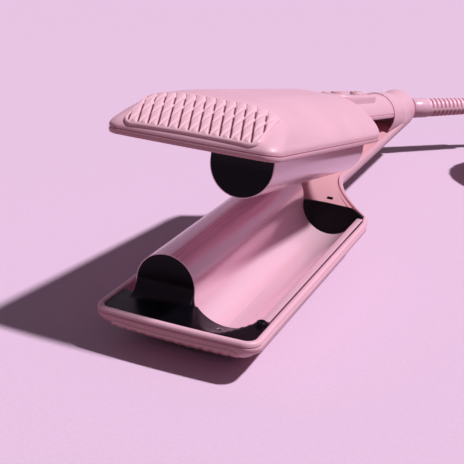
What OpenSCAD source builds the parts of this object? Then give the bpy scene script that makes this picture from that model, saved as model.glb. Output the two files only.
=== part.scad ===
/* [Jaws] */
// Width across a jaw housing
jaw_w = 64; // [60:1:70]
// Length of a jaw housing, from the tip to where the neck begins
jaw_len = 140; // [120:1:160]
// Height of a jaw housing below its rim
jaw_h = 18; // [17:0.5:22]
// Wall of a jaw housing
wall = 2.4; // [2:0.1:3]
// Radius of the two front corners
corner_r = 7; // [5:0.5:9]
// How far the front edge bows forward at its middle
front_bow = 1.5; // [0.5:0.5:3]
// Length of the sloping nose
nose_len = 20; // [18:1:26]
// Height of the upright rim band round a housing
rim_band = 3.4; // [3:0.2:4.4]
// Height of the housing where the nose ends
nose_h = 15; // [13.6:0.2:15.6]
// Width of the slopes between a housing's sides and its belly
side_slope = 11; // [9:0.5:13]
// How far the belly rises towards those slopes
crown = 1.5; // [0.5:0.25:2.5]
// Half width of the flat strip that a jaw rests on
rest_half_w = 9; // [6:1:12]

/* [Wave plates] */
// Radius of the raised barrel
barrel_r = 12; // [10:0.5:13]
// Space left for hair between a barrel and its trough
hair_gap = 1.5; // [1:0.1:2]
// Height of the barrel's centre above the rim
barrel_up = 4.8; // [3.5:0.1:5.5]
// Thickness of a plate
plate_t = 1.2; // [1:0.1:1.6]
// Distance from the tip to the front end of the plates
plate_from = 21; // [19:0.5:25]
// Gap between the two rims when the jaws are closed
closed_gap = 7.6; // [7.2:0.1:8]
// Gap between a plate and the parts around it
plate_fit = 0.3; // [0.2:0.05:0.5]
// Clearance along the arms between facing pieces when the jaws are closed
facing_gap = 0.2; // [0.1:0.05:0.3]
// Radius of the cove in front of the barrel's closed end
cove_r = 6; // [4:0.5:8]
// Gap between the flange beside the trough and the housing's wall
flange_gap = 0.75; // [0.5:0.05:1]
// Thickness of the dark wall at the rear end of a plate
end_wall_t = 2.6; // [2:0.2:3]

/* [Nose grip] */
// Width of the diamond grip panel
grip_w = 47; // [40:1:48]
// Length of the grip panel along the nose
grip_len = 21; // [16:1:23]
// Plain strip between the rim band and the panel
grip_from = 2.2; // [1.5:0.1:3]
// How far the panel stands out of the nose
grip_up = 0.9; // [0.5:0.1:1.2]
// Distance between neighbouring diamonds across the panel
grip_pitch = 3.6; // [3:0.2:5]
// Width of the grooves between the diamonds
grip_groove = 0.8; // [0.6:0.1:1.2]

/* [Handles] */
// Radius of the closed handle
handle_r = 12; // [11:0.5:14]
// Height of the handles' meeting plane above the lower rim
handle_up = 12; // [10:0.5:13]
// Length of the neck between jaw and handle
neck_len = 27; // [22:1:36]
// Wall of a handle
handle_wall = 2.2; // [1.8:0.1:2.6]
// Gap between the two handles when closed
handle_gap = 0.6; // [0.4:0.1:1]
// Thickness of the covers inside the arms
cover_t = 2; // [1.6:0.1:2.4]

/* [Hinge] */
// Distance from the tip to the hinge pin
hinge_y = 302; // [290:1:320]
// Angle between the arms when the spring holds them open
open_angle = 10.7; // [6:0.1:12]
// Radius of the hinge pin
pin_r = 2.5; // [2:0.1:2.8]
// Length of the hinge pin
pin_len = 20; // [18.5:0.5:20.5]
// Running clearance around the pin
pin_fit = 0.05; // [0.03:0.01:0.08]
// Width of the upper arm's tongue
tongue_w = 8; // [6:0.5:8]
// Radius of the tongue's round end
tongue_r = 6; // [5.4:0.1:6.2]
// Side clearance of the tongue in its slot
tongue_fit = 0.25; // [0.2:0.05:0.4]
// Distance from the hinge pin back to the seam between handle and end block
seam_ahead = 16; // [14:0.5:18]
// Clearance at that seam when the arms are open
seam_gap = 0.4; // [0.3:0.1:0.6]
// Distance from the hinge pin to the end of the block
block_tail = 18; // [17:0.5:20]
// Wire diameter of the return spring
spring_wire = 1.1; // [0.9:0.1:1.2]
// Turns of the return spring
spring_turns = 3; // [2:1:3]

/* [Heating parts] */
// Length of a heater
heater_len = 92; // [70:1:105]
// Height of a heater
heater_h = 4; // [3:0.5:5]
// Thickness of the ribs that carry a plate
rib_t = 3; // [2:0.5:4]
// Diameter of the heat sensors
sensor_d = 4; // [3:0.5:4.5]

/* [Controls] */
// Distance from the tip to the middle of the control panel
panel_y = 199; // [192:1:210]
// Length of the control panel
panel_len = 54; // [50:1:60]
// Width of the control panel
panel_w = 12; // [11:0.5:13]
// Diameter of the power button
power_d = 8; // [7:0.5:9]
// Diameter of the temperature buttons
step_d = 6; // [5:0.5:7]
// Travel of the buttons
button_travel = 0.8; // [0.5:0.1:1]
// Clearance around the buttons
button_fit = 0.15; // [0.1:0.05:0.3]

/* [Cord exit] */
// Radius of the swivel ball
ball_r = 5.5; // [5:0.1:6]
// Height of the ball's two flats above and below its middle
ball_flat = 4.6; // [4.3:0.1:5]
// Clearance around the ball
ball_fit = 0.1; // [0.05:0.05:0.2]
// Angle of the cord guard from the handle's line
guard_turn = 45; // [30:1:50]
// Farthest swing of the guard to either side
guard_swing = 50; // [50:1:55]
// Radius of the guard at its collar
guard_r = 6; // [5.5:0.1:6.2]
// Radius of the guard at its far end
guard_end_r = 4.8; // [4.4:0.1:5.2]
// Length of the plain collar
collar_len = 11; // [9:0.5:13]
// Length of the slotted sleeve
sleeve_len = 45; // [40:1:45]
// Distance between neighbouring slots
slot_pitch = 3; // [2.6:0.1:3.6]
// Width of the slots
slot_w = 1.4; // [1.2:0.1:1.6]

/* [Cord] */
// Diameter of the cord
cord_d = 6; // [5.8:0.1:6]
// Radius of the innermost turn of the put away coil
coil_in_r = 27; // [26:0.5:28]
// Turns in each layer of the coil
coil_turns = 2; // [1:1:2]
// Layers of the coil
coil_layers = 4; // [2:2:4]
// Clear space between neighbouring turns
coil_gap = 0.6; // [0.5:0.1:1]
// Length of the plug's body
plug_len = 30; // [26:1:36]
// Width of the plug's body
plug_w = 24; // [22:1:28]
// Height of the plug's body
plug_h = 16; // [14:1:18]
// Length of the plug's blades
blade_len = 17; // [15:0.5:18]
// Distance between the blades
blade_gap = 12.7; // [12:0.1:13.4]

/* [Hidden] */
$fn = 48;

// Barrel and trough centres mirror each other, so that the closed jaws nest
trough_r = barrel_r + hair_gap;
wave_x = (barrel_r + trough_r) / 2;
trough_up = closed_gap - barrel_up;
half_w = jaw_w / 2;
plate_to = jaw_len + 4;
flange_z = -0.3;
neck_from = plate_to + end_wall_t + 0.6;
neck_to = jaw_len + neck_len;
block_from = hinge_y - seam_ahead;
block_to = hinge_y + block_tail;
half_len = block_to / 2;
upper_handle = closed_gap - handle_up;
ball_y = hinge_y + 12.6;
guard_from = ball_r + 5.2;
guard_to = guard_from + collar_len + sleeve_len;

// Colours as the object shows them
pink = [0.93, 0.68, 0.78];
pale_pink = [0.96, 0.78, 0.84];
plate_pink = [0.94, 0.76, 0.82];
dark = [0.07, 0.07, 0.1];
steel = [0.72, 0.73, 0.75];

// ---- Shared helpers ----

function arc(cx, cy, r, from, to, steps) =
    [for (i = [0:steps]) let (a = from + (to - from) * i / steps) [cx + r * cos(a), cy + r * sin(a)]];

function bend(p, q, s, steps) =
    [for (i = [0:steps]) let (t = i / steps) p * (1 - t) * (1 - t) + q * 2 * t * (1 - t) + s * t * t];

// Height of the sloping nose's outer face at a distance from the tip
function nose_z(y) = -rim_band - (nose_h - rim_band) / nose_len * y;

function mirrored(points) = concat(points, [for (i = [len(points) - 1:-1:0]) [-points[i][0], points[i][1]]]);

// A flat outline drawn across the arm, pushed from one distance to another
module across(from, to) {
    translate([0, to, 0]) rotate([90, 0, 0]) linear_extrude(to - from) children();
}

// A flat outline of length and height, pushed sideways
module sideways(from, to) {
    translate([from, 0, 0]) rotate([90, 0, 90]) linear_extrude(to - from) children();
}

// The lower arm lies on its belly, and the object's middle is over the origin
module in_lower() {
    translate([0, -half_len, jaw_h]) children();
}

// The upper arm is the lower one turned over, then opened about the hinge pin
module in_upper() {
    in_lower()
        translate([0, hinge_y, handle_up])
            rotate([-open_angle, 0, 0])
                translate([0, -hinge_y, closed_gap - handle_up])
                    rotate([0, 180, 0])
                        children();
}

// A round bar along the arm
module bar(r, from, to, up) {
    translate([0, from, up]) rotate([-90, 0, 0]) cylinder(r = r, h = to - from);
}

// ---- Jaw outlines, each drawn inwards by a given inset ----

module jaw_plan(inset) {
    w = half_w - inset;
    r = corner_r - inset;
    x = w - r;
    y = inset + front_bow + r;
    side = concat([[w, jaw_len + 1]], arc(x, y, r, 0, -83, 8));
    front = [for (i = [0.6, 0.2]) [x * i, inset + front_bow * i * i]];
    polygon(mirrored(concat(side, front)));
}

// Front, sloping nose and flat belly, seen from the side
module jaw_profile(inset) {
    slope = (nose_h - rim_band) / nose_len;
    turn_y = nose_len + (jaw_h - nose_h) / slope;
    belly = bend([nose_len, inset - nose_h], [turn_y, inset - jaw_h], [turn_y * 1.8, inset - jaw_h], 6);
    lip = [[inset, 40], [inset, 1.4 + inset - rim_band], [inset + 0.4, 0.5 + inset - rim_band]];
    start = [[inset + 1.4, inset - rim_band - 1.4 * slope]];
    polygon(concat(lip, start, belly, [[jaw_len + 1, inset - jaw_h], [jaw_len + 1, 40]]));
}

// Flat middle, soft ridges, sloping flanks and upright bands, seen from the front
module jaw_section(inset, w = half_w, h = jaw_h, top = 40) {
    ridge = [w - side_slope - 0.5 * inset, crown + inset - h];
    foot = [w - 2.4 - 0.8 * inset, 0.6 * inset - rim_band - 3];
    belly = bend([rest_half_w, inset - h], ridge, foot, 8);
    edge = bend(foot, [w - 0.2 - inset, 0.4 * inset - rim_band - 0.4], [w - inset, 1 - rim_band], 3);
    polygon(mirrored(concat([[0, inset - h]], belly, edge, [[w - inset, top]])));
}

module jaw_solid(inset, top, from = 0, to = jaw_len) {
    intersection() {
        translate([0, 0, -40]) linear_extrude(40 + top) jaw_plan(inset);
        sideways(-half_w, half_w) jaw_profile(inset);
        across(from, to) jaw_section(inset);
    }
}

// ---- Wave plate ----

// Everything below the plate's outer face: barrel, straight flank and trough
module wave_under(inset = 0) {
    difference() {
        union() {
            translate([-wave_x, barrel_up]) circle(r = barrel_r - inset);
            translate([-wave_x - barrel_r + inset, -40])
                square([2 * (barrel_r - inset), 40 + barrel_up]);
            translate([-wave_x - barrel_r + inset, -40])
                square([4 * wave_x + 20, 40 + flange_z - inset]);
        }
        translate([wave_x, trough_up]) circle(r = trough_r + inset);
    }
}

module wave_skin() {
    intersection() {
        difference() {
            wave_under();
            wave_under(plate_t);
        }
        union() {
            translate([-40, -2]) square([80, 60]);
            translate([-0.2 - plate_t, -40]) square([80, 60]);
        }
    }
}

module wave_plate() {
    across(plate_from, plate_to) {
        intersection() {
            wave_skin();
            translate([-40, -40]) square([40 + half_w - wall - flange_gap, 80]);
        }
    }
}

// ---- Arm pieces, drawn once and used by both arms ----

// The jaw's square rear end and the neck that narrows to the handle
module neck(up) {
    hull() {
        across(jaw_len - 0.5, jaw_len) jaw_section(0, top = 0);
        across(neck_from - 0.5, neck_from) jaw_section(0, half_w - 1.6, jaw_h - 0.6, 0);
        intersection() {
            bar(handle_r, neck_to, neck_to + 1, up);
            translate([-40, neck_to, up - 40]) cube([80, 1, 40 - handle_gap / 2]);
        }
    }
}

// The space of the neck's inner cover, grown by a clearance
module neck_cover(up, gap) {
    start = plate_to + end_wall_t + 0.2;
    r = handle_r - handle_wall - 0.2 + gap;
    hull() {
        translate([-half_w + 5 - gap, start - gap, up > 0 ? -cover_t - gap : -cover_t - 3 - gap])
            cube([jaw_w - 10 + 2 * gap, 0.5, cover_t + gap + 0.2]);
        translate([-8, start - gap, up > 0 ? 0 : -cover_t - 3])
            cube([16, 0.5, up > 0 ? 6.5 : 1]);
        translate([-r, neck_to + 0.6, up - cover_t - handle_gap / 2 - gap])
            cube([2 * r, 0.5, cover_t + gap]);
    }
}

module inner_cover(up, gap = 0) {
    r = handle_r - handle_wall - 0.2 + gap;
    neck_cover(up, gap);
    translate([-r, neck_to + 1, up - cover_t - handle_gap / 2 - gap])
        cube([2 * r, block_from - 8 - neck_to + gap, cover_t + gap]);
}

module arm_shell(up, handle_to) {
    difference() {
        union() {
            jaw_solid(0, 0);
            neck(up);
            intersection() {
                bar(handle_r, neck_to + 0.5, handle_to, up);
                translate([-40, 0, up - 40]) cube([80, 400, 40 - handle_gap / 2]);
            }
        }
        jaw_solid(wall, 5, wall, jaw_len - 1);
        translate([screw_x, screw_y, screw_tip - 0.2]) cylinder(r = 1.25, h = 12);
        // Seat of the dark rear wall
        across(jaw_len - 2, plate_to + end_wall_t + 0.2)
            jaw_section(wall, half_w - 0.6, jaw_h - 1);
        // Space above the neck for the inner cover
        translate([0, 0, 0.02]) inner_cover(up, 0.2);
        // Hollow of the handle
        intersection() {
            bar(handle_r - handle_wall, neck_to + 5, block_from - 9, up);
            translate([-40, 0, up - 40]) cube([80, 400, 38 - handle_gap / 2]);
        }
    }
}

// Raised diamonds between two families of slanting grooves
module nose_grip() {
    slope = atan((nose_h - rim_band) / nose_len);
    translate([0, 0, -rim_band]) rotate([-slope, 0, 0]) {
        difference() {
            translate([0, grip_len / 2 + grip_from, -grip_up])
                linear_extrude(grip_up + 0.5) grip_outline(grip_w, grip_len, 5);
            translate([0, grip_len / 2 + grip_from, -grip_up - 0.01]) linear_extrude(grip_up * 0.7)
                intersection() {
                    grip_outline(grip_w - 2.4, grip_len - 2.4, 4);
                    grip_grooves();
                }
        }
    }
}

module grip_outline(w, l, r) {
    polygon(concat(arc(w / 2 - r, l / 2 - r, r, 0, 90, 5), arc(r - w / 2, l / 2 - r, r, 90, 180, 5),
        arc(r - w / 2, r - l / 2, r, 180, 270, 5), arc(w / 2 - r, r - l / 2, r, 270, 360, 5)));
}

module grip_grooves() {
    count = ceil(grip_w / grip_pitch);
    for (i = [-count:count]) {
        for (side = [-1, 1])
            translate([i * grip_pitch, 0]) rotate(side * 20)
                square([grip_groove, 60], center = true);
    }
}

// Pocket that the grip panel is pressed into
module grip_seat() {
    slope = atan((nose_h - rim_band) / nose_len);
    translate([0, 0, -rim_band]) rotate([-slope, 0, 0])
        translate([0, grip_len / 2 + grip_from, -3])
            linear_extrude(3.5) grip_outline(grip_w + 0.2, grip_len + 0.2, 5.1);
}

// Dark front cap: dished ledge, boss in the barrel's mouth and lip in front of the trough
module end_cap() {
    ledge = -0.8;
    lip_r = trough_r + 3.2;
    lip_up = trough_up + 7.8;
    back = plate_from - plate_fit;
    difference() {
        union() {
            intersection() {
                jaw_solid(wall + 0.1, 12, 0, back);
                across(wall, back) cap_face(ledge);
            }
            cap_boss(ledge, back + facing_gap);
            // Rounded tab at the lip's outer end
            translate([half_w - wall - 2.6, back - 2.2, -2.6]) cylinder(r = 2, h = 4);
        }
        // Dish that falls from the front rim to the lip
        translate([wave_x, 2, lip_up]) rotate([-90, 0, 0])
            cylinder(r1 = lip_up + 0.4, r2 = lip_r, h = back - 2 + 0.01);
        cap_screw_hole();
        // The cap is hollow underneath
        across(7, back - 2.5) translate([-half_w + wall + 3, -20])
            square([jaw_w - 2 * wall - 6, 13.4 - 0.5]);
    }
}

// Round face in the barrel's mouth, with a cove down to the ledge
module cap_boss(ledge, face) {
    difference() {
        across(face - cove_r, plate_from + 6) barrel_inside();
        sideways(-half_w, 0) polygon(concat([[0, ledge]],
            arc(face - cove_r, ledge + cove_r, cove_r, -90, 0, 8), [[face, 60], [0, 60]]));
    }
}

// Outline of the cap across the jaw: low ledge, with the barrel's round face behind it
module cap_face(ledge) {
    translate([-40, -40]) square([80, 40 + ledge]);
}

module cap_screw_hole() {
    translate([screw_x, screw_y, -14]) cylinder(r = 1.3, h = 20);
    translate([screw_x, screw_y, screw_z - 1.2]) cylinder(r = 2.3, h = 10);
}

screw_x = wave_x - 4.5;
screw_y = 12;
screw_z = -3.6;
screw_tip = nose_z(screw_y) + 1.4;

module cap_screw() {
    translate([screw_x, screw_y, screw_z - 1.2]) difference() {
        cylinder(r = 2.1, h = 1.2);
        translate([0, 0, 0.6]) cylinder(r = 1, h = 1, $fn = 6);
    }
    translate([screw_x, screw_y, screw_tip]) cylinder(r = 1.2, h = screw_z - 1 - screw_tip);
}

// Dark wall that closes the trough, with a plug in the barrel's rear end
module rear_wall(top) {
    back = plate_to + end_wall_t;
    intersection() {
        across(plate_to + plate_fit, back)
            polygon([[0.3, -jaw_h], [0.3, top], [3, top], [20, min(top, 1)], [half_w - wall - 1.4, flange_z],
                [half_w - wall - 1.4, -jaw_h]]);
        across(plate_to, back) jaw_section(wall + 0.2, half_w - 1.2, jaw_h - 1);
    }
    intersection() {
        across(plate_to + plate_fit, back) jaw_section(wall + 0.2, half_w - 1.2, jaw_h - 1, top = -2);
        translate([-half_w, 0, -40]) cube([half_w + 0.4, 400, 38.5]);
    }
    across(plate_to - 6, plate_to + plate_fit - facing_gap) barrel_inside();
    across(plate_to - 6, plate_to + plate_fit + 0.1) intersection() {
        barrel_inside();
        translate([-half_w, -41.5]) square([half_w, 40]);
    }
}

// The space inside the barrel, across the arm
module barrel_inside() {
    intersection() {
        wave_under(plate_t + plate_fit);
        translate([-wave_x, barrel_up]) circle(r = barrel_r - plate_t - plate_fit);
    }
}

// Heater bar that lies against the inside of the barrel
module heater() {
    across(plate_from + 12, plate_from + 12 + heater_len) intersection() {
        translate([-wave_x, barrel_up]) circle(r = barrel_r - plate_t - plate_fit);
        translate([-wave_x - 8, barrel_up + barrel_r - plate_t - plate_fit - heater_h - 1.4])
            square([16, heater_h + 1.4]);
    }
}

// Ribs and a spine that carry the plate on the housing's floor
module plate_carrier() {
    for (i = [0:2]) {
        y = plate_from + 14 + i * (plate_to - plate_from - 28 - rib_t) / 2;
        intersection() {
            across(y, y + rib_t) difference() {
                jaw_section(wall + 0.2);
                difference() {
                    translate([-80, -80]) square([160, 160]);
                    wave_under(plate_t + plate_fit);
                }
                // The ribs stop under the middle of the trough
                translate([wave_x, -80]) square([80, 160]);
                translate([-wave_x - 9, barrel_up + 1]) square([18, 40]);
            }
            jaw_solid(wall + 0.2, 12);
        }
    }
    translate([-wave_x + 2.2, plate_from + 14, -jaw_h + wall + 1.8])
        cube([8, plate_to - plate_from - 28, 2.4]);
}

// Bead that feels the heat under the heater
module heat_sensor() {
    translate([-wave_x, plate_from + 40, heater_under - sensor_d / 2 - 0.2]) rotate([-90, 0, 0])
        cylinder(d = sensor_d, h = 12);
}

heater_under = barrel_up + barrel_r - plate_t - plate_fit - heater_h - 1.4;

// ---- Lower arm ----

module lower_shell() {
    color(pink) in_lower() difference() {
        union() {
            arm_shell(handle_up, block_from + 1);
            end_block();
        }
        grip_seat();
        translate([0, block_from - 2, handle_up - handle_gap / 2])
            cut_above(2, 20);
        block_hollows();
        handle_screw_holes();
    }
}

// Empties a strip above the lower handle
module cut_above(l, h) {
    translate([-20, 0, 0]) cube([40, l, h]);
}

// Round end of the lower arm that holds the hinge and the cord swivel
module end_block() {
    round_r = 6;
    translate([0, block_from, handle_up]) rotate([-90, 0, 0]) rotate_extrude()
        polygon(concat([[0, 0], [handle_r, 0]],
            arc(handle_r - round_r, block_to - block_from - round_r, round_r, 0, 90, 8),
            [[0, block_to - block_from]]));
}

module block_hollows() {
    slot_w2 = tongue_w / 2 + tongue_fit;
    // Slot that the tongue swings in
    translate([-slot_w2, block_from - 1, handle_up - tongue_r - 0.3])
        cube([2 * slot_w2, seam_ahead + 1, 2 * tongue_r + 3.9]);
    translate([-slot_w2, hinge_y, handle_up]) rotate([0, 90, 0])
        cylinder(r = tongue_r + 0.4, h = 2 * slot_w2);
    // Blind bore of the hinge pin
    translate([-pin_len / 2 - 0.1, hinge_y, handle_up]) rotate([0, 90, 0])
        cylinder(r = pin_r + 0.02, h = pin_len + 0.2);
    // Pocket of the return spring
    translate([slot_w2 - 0.1, hinge_y, handle_up]) rotate([0, 90, 0])
        cylinder(r = spring_r + spring_wire / 2 + 0.4, h = spring_room);
    // Socket of the swivel ball and the mouth that its neck swings in
    translate([0, ball_y, handle_up]) flat_ball(ball_fit);
    translate([0, ball_y, handle_up]) {
        rotate([0, 0, 90 - guard_swing]) rotate_extrude(angle = 2 * guard_swing)
            translate([0.1, -neck_r - 0.2]) square([30, 2 * neck_r + 0.4]);
        for (side = [-1, 1])
            rotate([0, 0, side * guard_swing]) bar(neck_r + 0.4, 0, 30, 0);
    }
}

neck_r = 3.2;
spring_r = pin_r + 0.3 + spring_wire / 2;
spring_room = 5;

module lower_nose_grip() {
    color(pink) in_lower() nose_grip();
}

module lower_end_cap() {
    color(dark) in_lower() end_cap();
}

module lower_plate() {
    color(plate_pink) in_lower() wave_plate();
}

module lower_rear_wall() {
    color(dark) in_lower() rear_wall(7);
}

module lower_inner_cover() {
    color(pale_pink) in_lower() difference() {
        inner_cover(handle_up);
        // Small latch slot at the foot of the neck
        translate([9, plate_to + 7, 2]) cube([5, 2, 20]);
    }
}

module lower_heater() {
    color([0.85, 0.83, 0.78]) in_lower() heater();
}

module lower_plate_carrier() {
    color([0.75, 0.7, 0.62]) in_lower() plate_carrier();
}

module lower_heat_sensor() {
    color([0.6, 0.3, 0.2]) in_lower() heat_sensor();
}

module lower_cap_screw() {
    color(steel) in_lower() cap_screw();
}

// ---- Upper arm ----

module upper_shell() {
    color(pink) difference() {
        in_upper() difference() {
            union() {
                arm_shell(upper_handle, hinge_y - 10);
                panel_pod();
            }
            grip_seat();
            panel_room();
        }
        // The end block and its running gap
        in_lower() translate([-20, block_from - seam_gap, 0]) cube([40, 60, 60]);
    }
    color(pink) upper_tongue();
}

// Tongue that turns about the hinge pin
module upper_tongue() {
    in_upper() difference() {
        union() {
            translate([-tongue_w / 2, hinge_y, upper_handle]) rotate([0, 90, 0])
                cylinder(r = tongue_r, h = tongue_w);
            translate([-tongue_w / 2, block_from - 6, upper_handle - tongue_r])
                cube([tongue_w, seam_ahead + 6, tongue_r - handle_gap / 2]);
        }
        translate([-tongue_w, hinge_y, upper_handle]) rotate([0, 90, 0])
            cylinder(r = pin_r + pin_fit, h = 2 * tongue_w);
    }
}

panel_top = upper_handle - handle_r - 0.6;

module pod_outline(l, w) {
    translate([0, (l - w) / 2]) circle(d = w);
    translate([0, (w - l) / 2]) circle(d = w);
    square([w, l - w], center = true);
}

// Flat topped pod that carries the controls
module panel_pod() {
    translate([0, panel_y, panel_top]) linear_extrude(8) pod_outline(panel_len + 7, panel_w + 5);
}

module panel_room() {
    translate([0, panel_y, panel_top - 1]) linear_extrude(2.8) pod_outline(panel_len + 0.3, panel_w + 0.3);
    translate([0, panel_y, panel_top]) linear_extrude(9)
        pod_outline(panel_len - 3, power_d + 1.2 + 2 * button_fit);
    intersection() {
        translate([0, panel_y, panel_top]) linear_extrude(9) pod_outline(panel_len + 4, panel_w + 2);
        bar(handle_r - handle_wall, neck_to + 5, block_from - 9, upper_handle);
    }
}

// Places of the controls along the panel
power_y = panel_y - panel_len / 2 + 7;
window_y = panel_y - 2;
plus_y = panel_y + panel_len / 2 - 15;
minus_y = panel_y + panel_len / 2 - 6.5;
panel_t = 1.6;

module control_panel() {
    color([0.9, 0.6, 0.7]) in_upper() difference() {
        translate([0, panel_y, panel_top + 0.2]) linear_extrude(panel_t) pod_outline(panel_len, panel_w);
        translate([0, power_y, panel_top - 1]) cylinder(d = power_d + 2 * button_fit, h = 4);
        translate([0, plus_y, panel_top - 1]) cylinder(d = step_d + 2 * button_fit, h = 4);
        translate([0, minus_y, panel_top - 1]) cylinder(d = step_d + 2 * button_fit, h = 4);
        translate([0, window_y, panel_top - 1]) linear_extrude(4) square([7.2, 16.2], center = true);
    }
}

module display_window() {
    color(dark) in_upper() translate([0, window_y, panel_top + 0.2])
        linear_extrude(1.2) square([7, 16], center = true);
}

module button(d, y) {
    translate([0, y, panel_top - 0.7]) cylinder(d = d, h = 3);
    translate([0, y, panel_top + 2]) cylinder(d = d + 1.2, h = 0.8);
}

module power_button() {
    color(pale_pink) in_upper() button(power_d, power_y);
}

module plus_button() {
    color(pale_pink) in_upper() button(step_d, plus_y);
}

module minus_button() {
    color(pale_pink) in_upper() button(step_d, minus_y);
}

// Board under the panel, with a switch below each button
module circuit_board() {
    top = panel_top + 2.8 + button_travel;
    color([0.1, 0.35, 0.2]) in_upper() {
        translate([-3.5, panel_y - panel_len / 2 + 3, top + 0.9])
            cube([7, panel_len - 6, 1.6]);
        for (y = [power_y, plus_y, minus_y])
            translate([-1.8, y - 1.8, top]) cube([3.6, 3.6, 1]);
    }
}

module upper_nose_grip() {
    color(pink) in_upper() nose_grip();
}

module upper_end_cap() {
    color(dark) in_upper() end_cap();
}

module upper_plate() {
    color(plate_pink) in_upper() wave_plate();
}

module upper_rear_wall() {
    color(dark) in_upper() rear_wall(-0.6);
}

module upper_inner_cover() {
    color(pale_pink) in_upper() inner_cover(upper_handle);
}

module upper_heater() {
    color([0.85, 0.83, 0.78]) in_upper() heater();
}

module upper_plate_carrier() {
    color([0.75, 0.7, 0.62]) in_upper() plate_carrier();
}

module upper_heat_sensor() {
    color([0.6, 0.3, 0.2]) in_upper() heat_sensor();
}

module upper_cap_screw() {
    color(steel) in_upper() cap_screw();
}

// ---- Hinge ----

module hinge_pin() {
    color(steel) in_lower() translate([-pin_len / 2, hinge_y, handle_up]) rotate([0, 90, 0])
        cylinder(r = pin_r, h = pin_len);
}

// Screws that close the lower handle from below
screw_places = [for (i = [0.5, 1.5, 2.5]) neck_to + (block_from - neck_to) * i / 3];

module handle_screws() {
    color(steel) in_lower() for (y = screw_places) {
        translate([0, y, handle_up - handle_r + 0.5]) difference() {
            cylinder(r = 2, h = 1.4);
            translate([0, 0, -0.1]) cylinder(r = 0.9, h = 0.8, $fn = 6);
        }
        translate([0, y, handle_up - handle_r + 1.8])
            cylinder(r = 1.2, h = handle_r - cover_t - handle_gap / 2 - 1.9);
    }
}

module handle_screw_holes() {
    for (y = screw_places) {
        translate([0, y, handle_up - handle_r - 1]) cylinder(r = 2.2, h = 3);
        translate([0, y, handle_up - handle_r - 1]) cylinder(r = 1.3, h = 6);
    }
}

// ---- Round tubes swept along a route ----

function unit(v) = v / norm(v);

function heading(route, i) =
    i == 0 ? unit(route[1] - route[0]) :
    i == len(route) - 1 ? unit(route[i] - route[i - 1]) :
    unit(unit(route[i + 1] - route[i]) + unit(route[i] - route[i - 1]));

function ring(p, along, r, sides, turn) =
    let (side = unit(cross(along, [0, 0, 1])), up = cross(side, along))
    [for (k = [0:sides - 1]) let (a = 360 * (k + turn) / sides) p + r * (cos(a) * side + sin(a) * up)];

module tube(route, r, sides, turn = 0.5) {
    rings = len(route);
    last = (rings - 1) * sides;
    points = [for (i = [0:rings - 1]) each ring(route[i], heading(route, i), r, sides, turn)];
    walls = [for (i = [0:rings - 2]) for (k = [0:sides - 1]) let (a = i * sides + k,
        b = i * sides + (k + 1) % sides) each [[a, b, b + sides], [a, b + sides, a + sides]]];
    start = [for (k = [1:sides - 2]) [0, k + 1, k]];
    finish = [for (k = [1:sides - 2]) [last, last + k, last + k + 1]];
    polyhedron(points, concat(walls, start, finish));
}

// Torsion spring round the hinge pin, drawn along the X axis
module return_spring() {
    steps = spring_turns * 10;
    x0 = tongue_w / 2 + tongue_fit + spring_wire / 2 + 0.2;
    pitch = (spring_room - 0.3 - 2 * spring_wire / 2 - 0.6) / spring_turns;
    route = [for (i = [0:steps]) let (a = i * 36 + 90)
        [spring_r * cos(a), spring_r * sin(a), x0 + pitch * i / 10]];
    color(steel) in_lower() translate([0, hinge_y, handle_up]) rotate([90, 0, 90])
        tube(route, spring_wire / 2, 6);
}

// ---- Cord ----

// Moves a drawing on the guard's own axis to where the guard points
module on_guard() {
    in_lower() translate([0, ball_y, handle_up]) rotate([0, 0, -guard_turn]) children();
}

// Ball with a flat above and below, grown by a clearance
module flat_ball(grow) {
    intersection() {
        sphere(r = ball_r + grow);
        translate([-10, -10, -ball_flat - grow]) cube([20, 20, 2 * (ball_flat + grow)]);
    }
}

module swivel_ball() {
    color([0.8, 0.56, 0.66]) on_guard() {
        flat_ball(0);
        bar(neck_r, 0, guard_from, 0);
        bar(neck_r - 1, guard_from - 0.5, guard_from + 6, 0);
    }
}

// Collar and tapered sleeve, slotted from both sides in two staggered rows
module cord_guard() {
    color(pink) on_guard() difference() {
        union() {
            bar(guard_r, guard_from + 0.2, guard_from + collar_len, 0);
            translate([0, guard_from + collar_len - 0.01, 0]) rotate([-90, 0, 0])
                cylinder(r1 = guard_r - 0.3, r2 = guard_end_r, h = sleeve_len);
        }
        bar(neck_r - 1 + 0.05, guard_from - 1, guard_from + 6.1, 0);
        for (i = [0:floor((sleeve_len - 6) / slot_pitch)])
            for (side = [0, 1])
                translate([0, guard_from + collar_len + 1.5 + (i + side / 2) * slot_pitch, 0])
                    guard_slot(side);
    }
}

module guard_slot(side) {
    intersection() {
        difference() {
            bar(guard_r + 1, 0, slot_w, 0);
            bar(guard_end_r - 1.6, -1, slot_w + 1, 0);
        }
        translate([-20, -1, side == 0 ? 0.7 : -20.7]) cube([40, slot_w + 2, 20]);
    }
}

cord_r = cord_d / 2;
guard_dir = [sin(guard_turn), cos(guard_turn), 0];
guard_tip = [0, ball_y - half_len, jaw_h + handle_up] + guard_dir * guard_to;

// Route of the free cord from the guard down to the table and round to the coil
cord_points = [[58.5, 211.5, 29.4], [67.5, 215.5, 26.8], [78, 216.8, 22], [89, 215.3, 16.5], [100, 211, 11],
    [110, 204.5, 6.8], [118.5, 196.5, 4.2], [125.5, 187, 3.2], [131, 177, 3.1], [133.2, 166, 3.1]];
coil_pitch = cord_d + coil_gap;
coil_out_r = coil_in_r + coil_turns * coil_pitch;
coil_at = [133.2 - coil_out_r, 150, 0];
coil_low = 3.1;
layer_steps = 24 * coil_turns;
climb_steps = 8;
layer_cycle = layer_steps + climb_steps;

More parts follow.
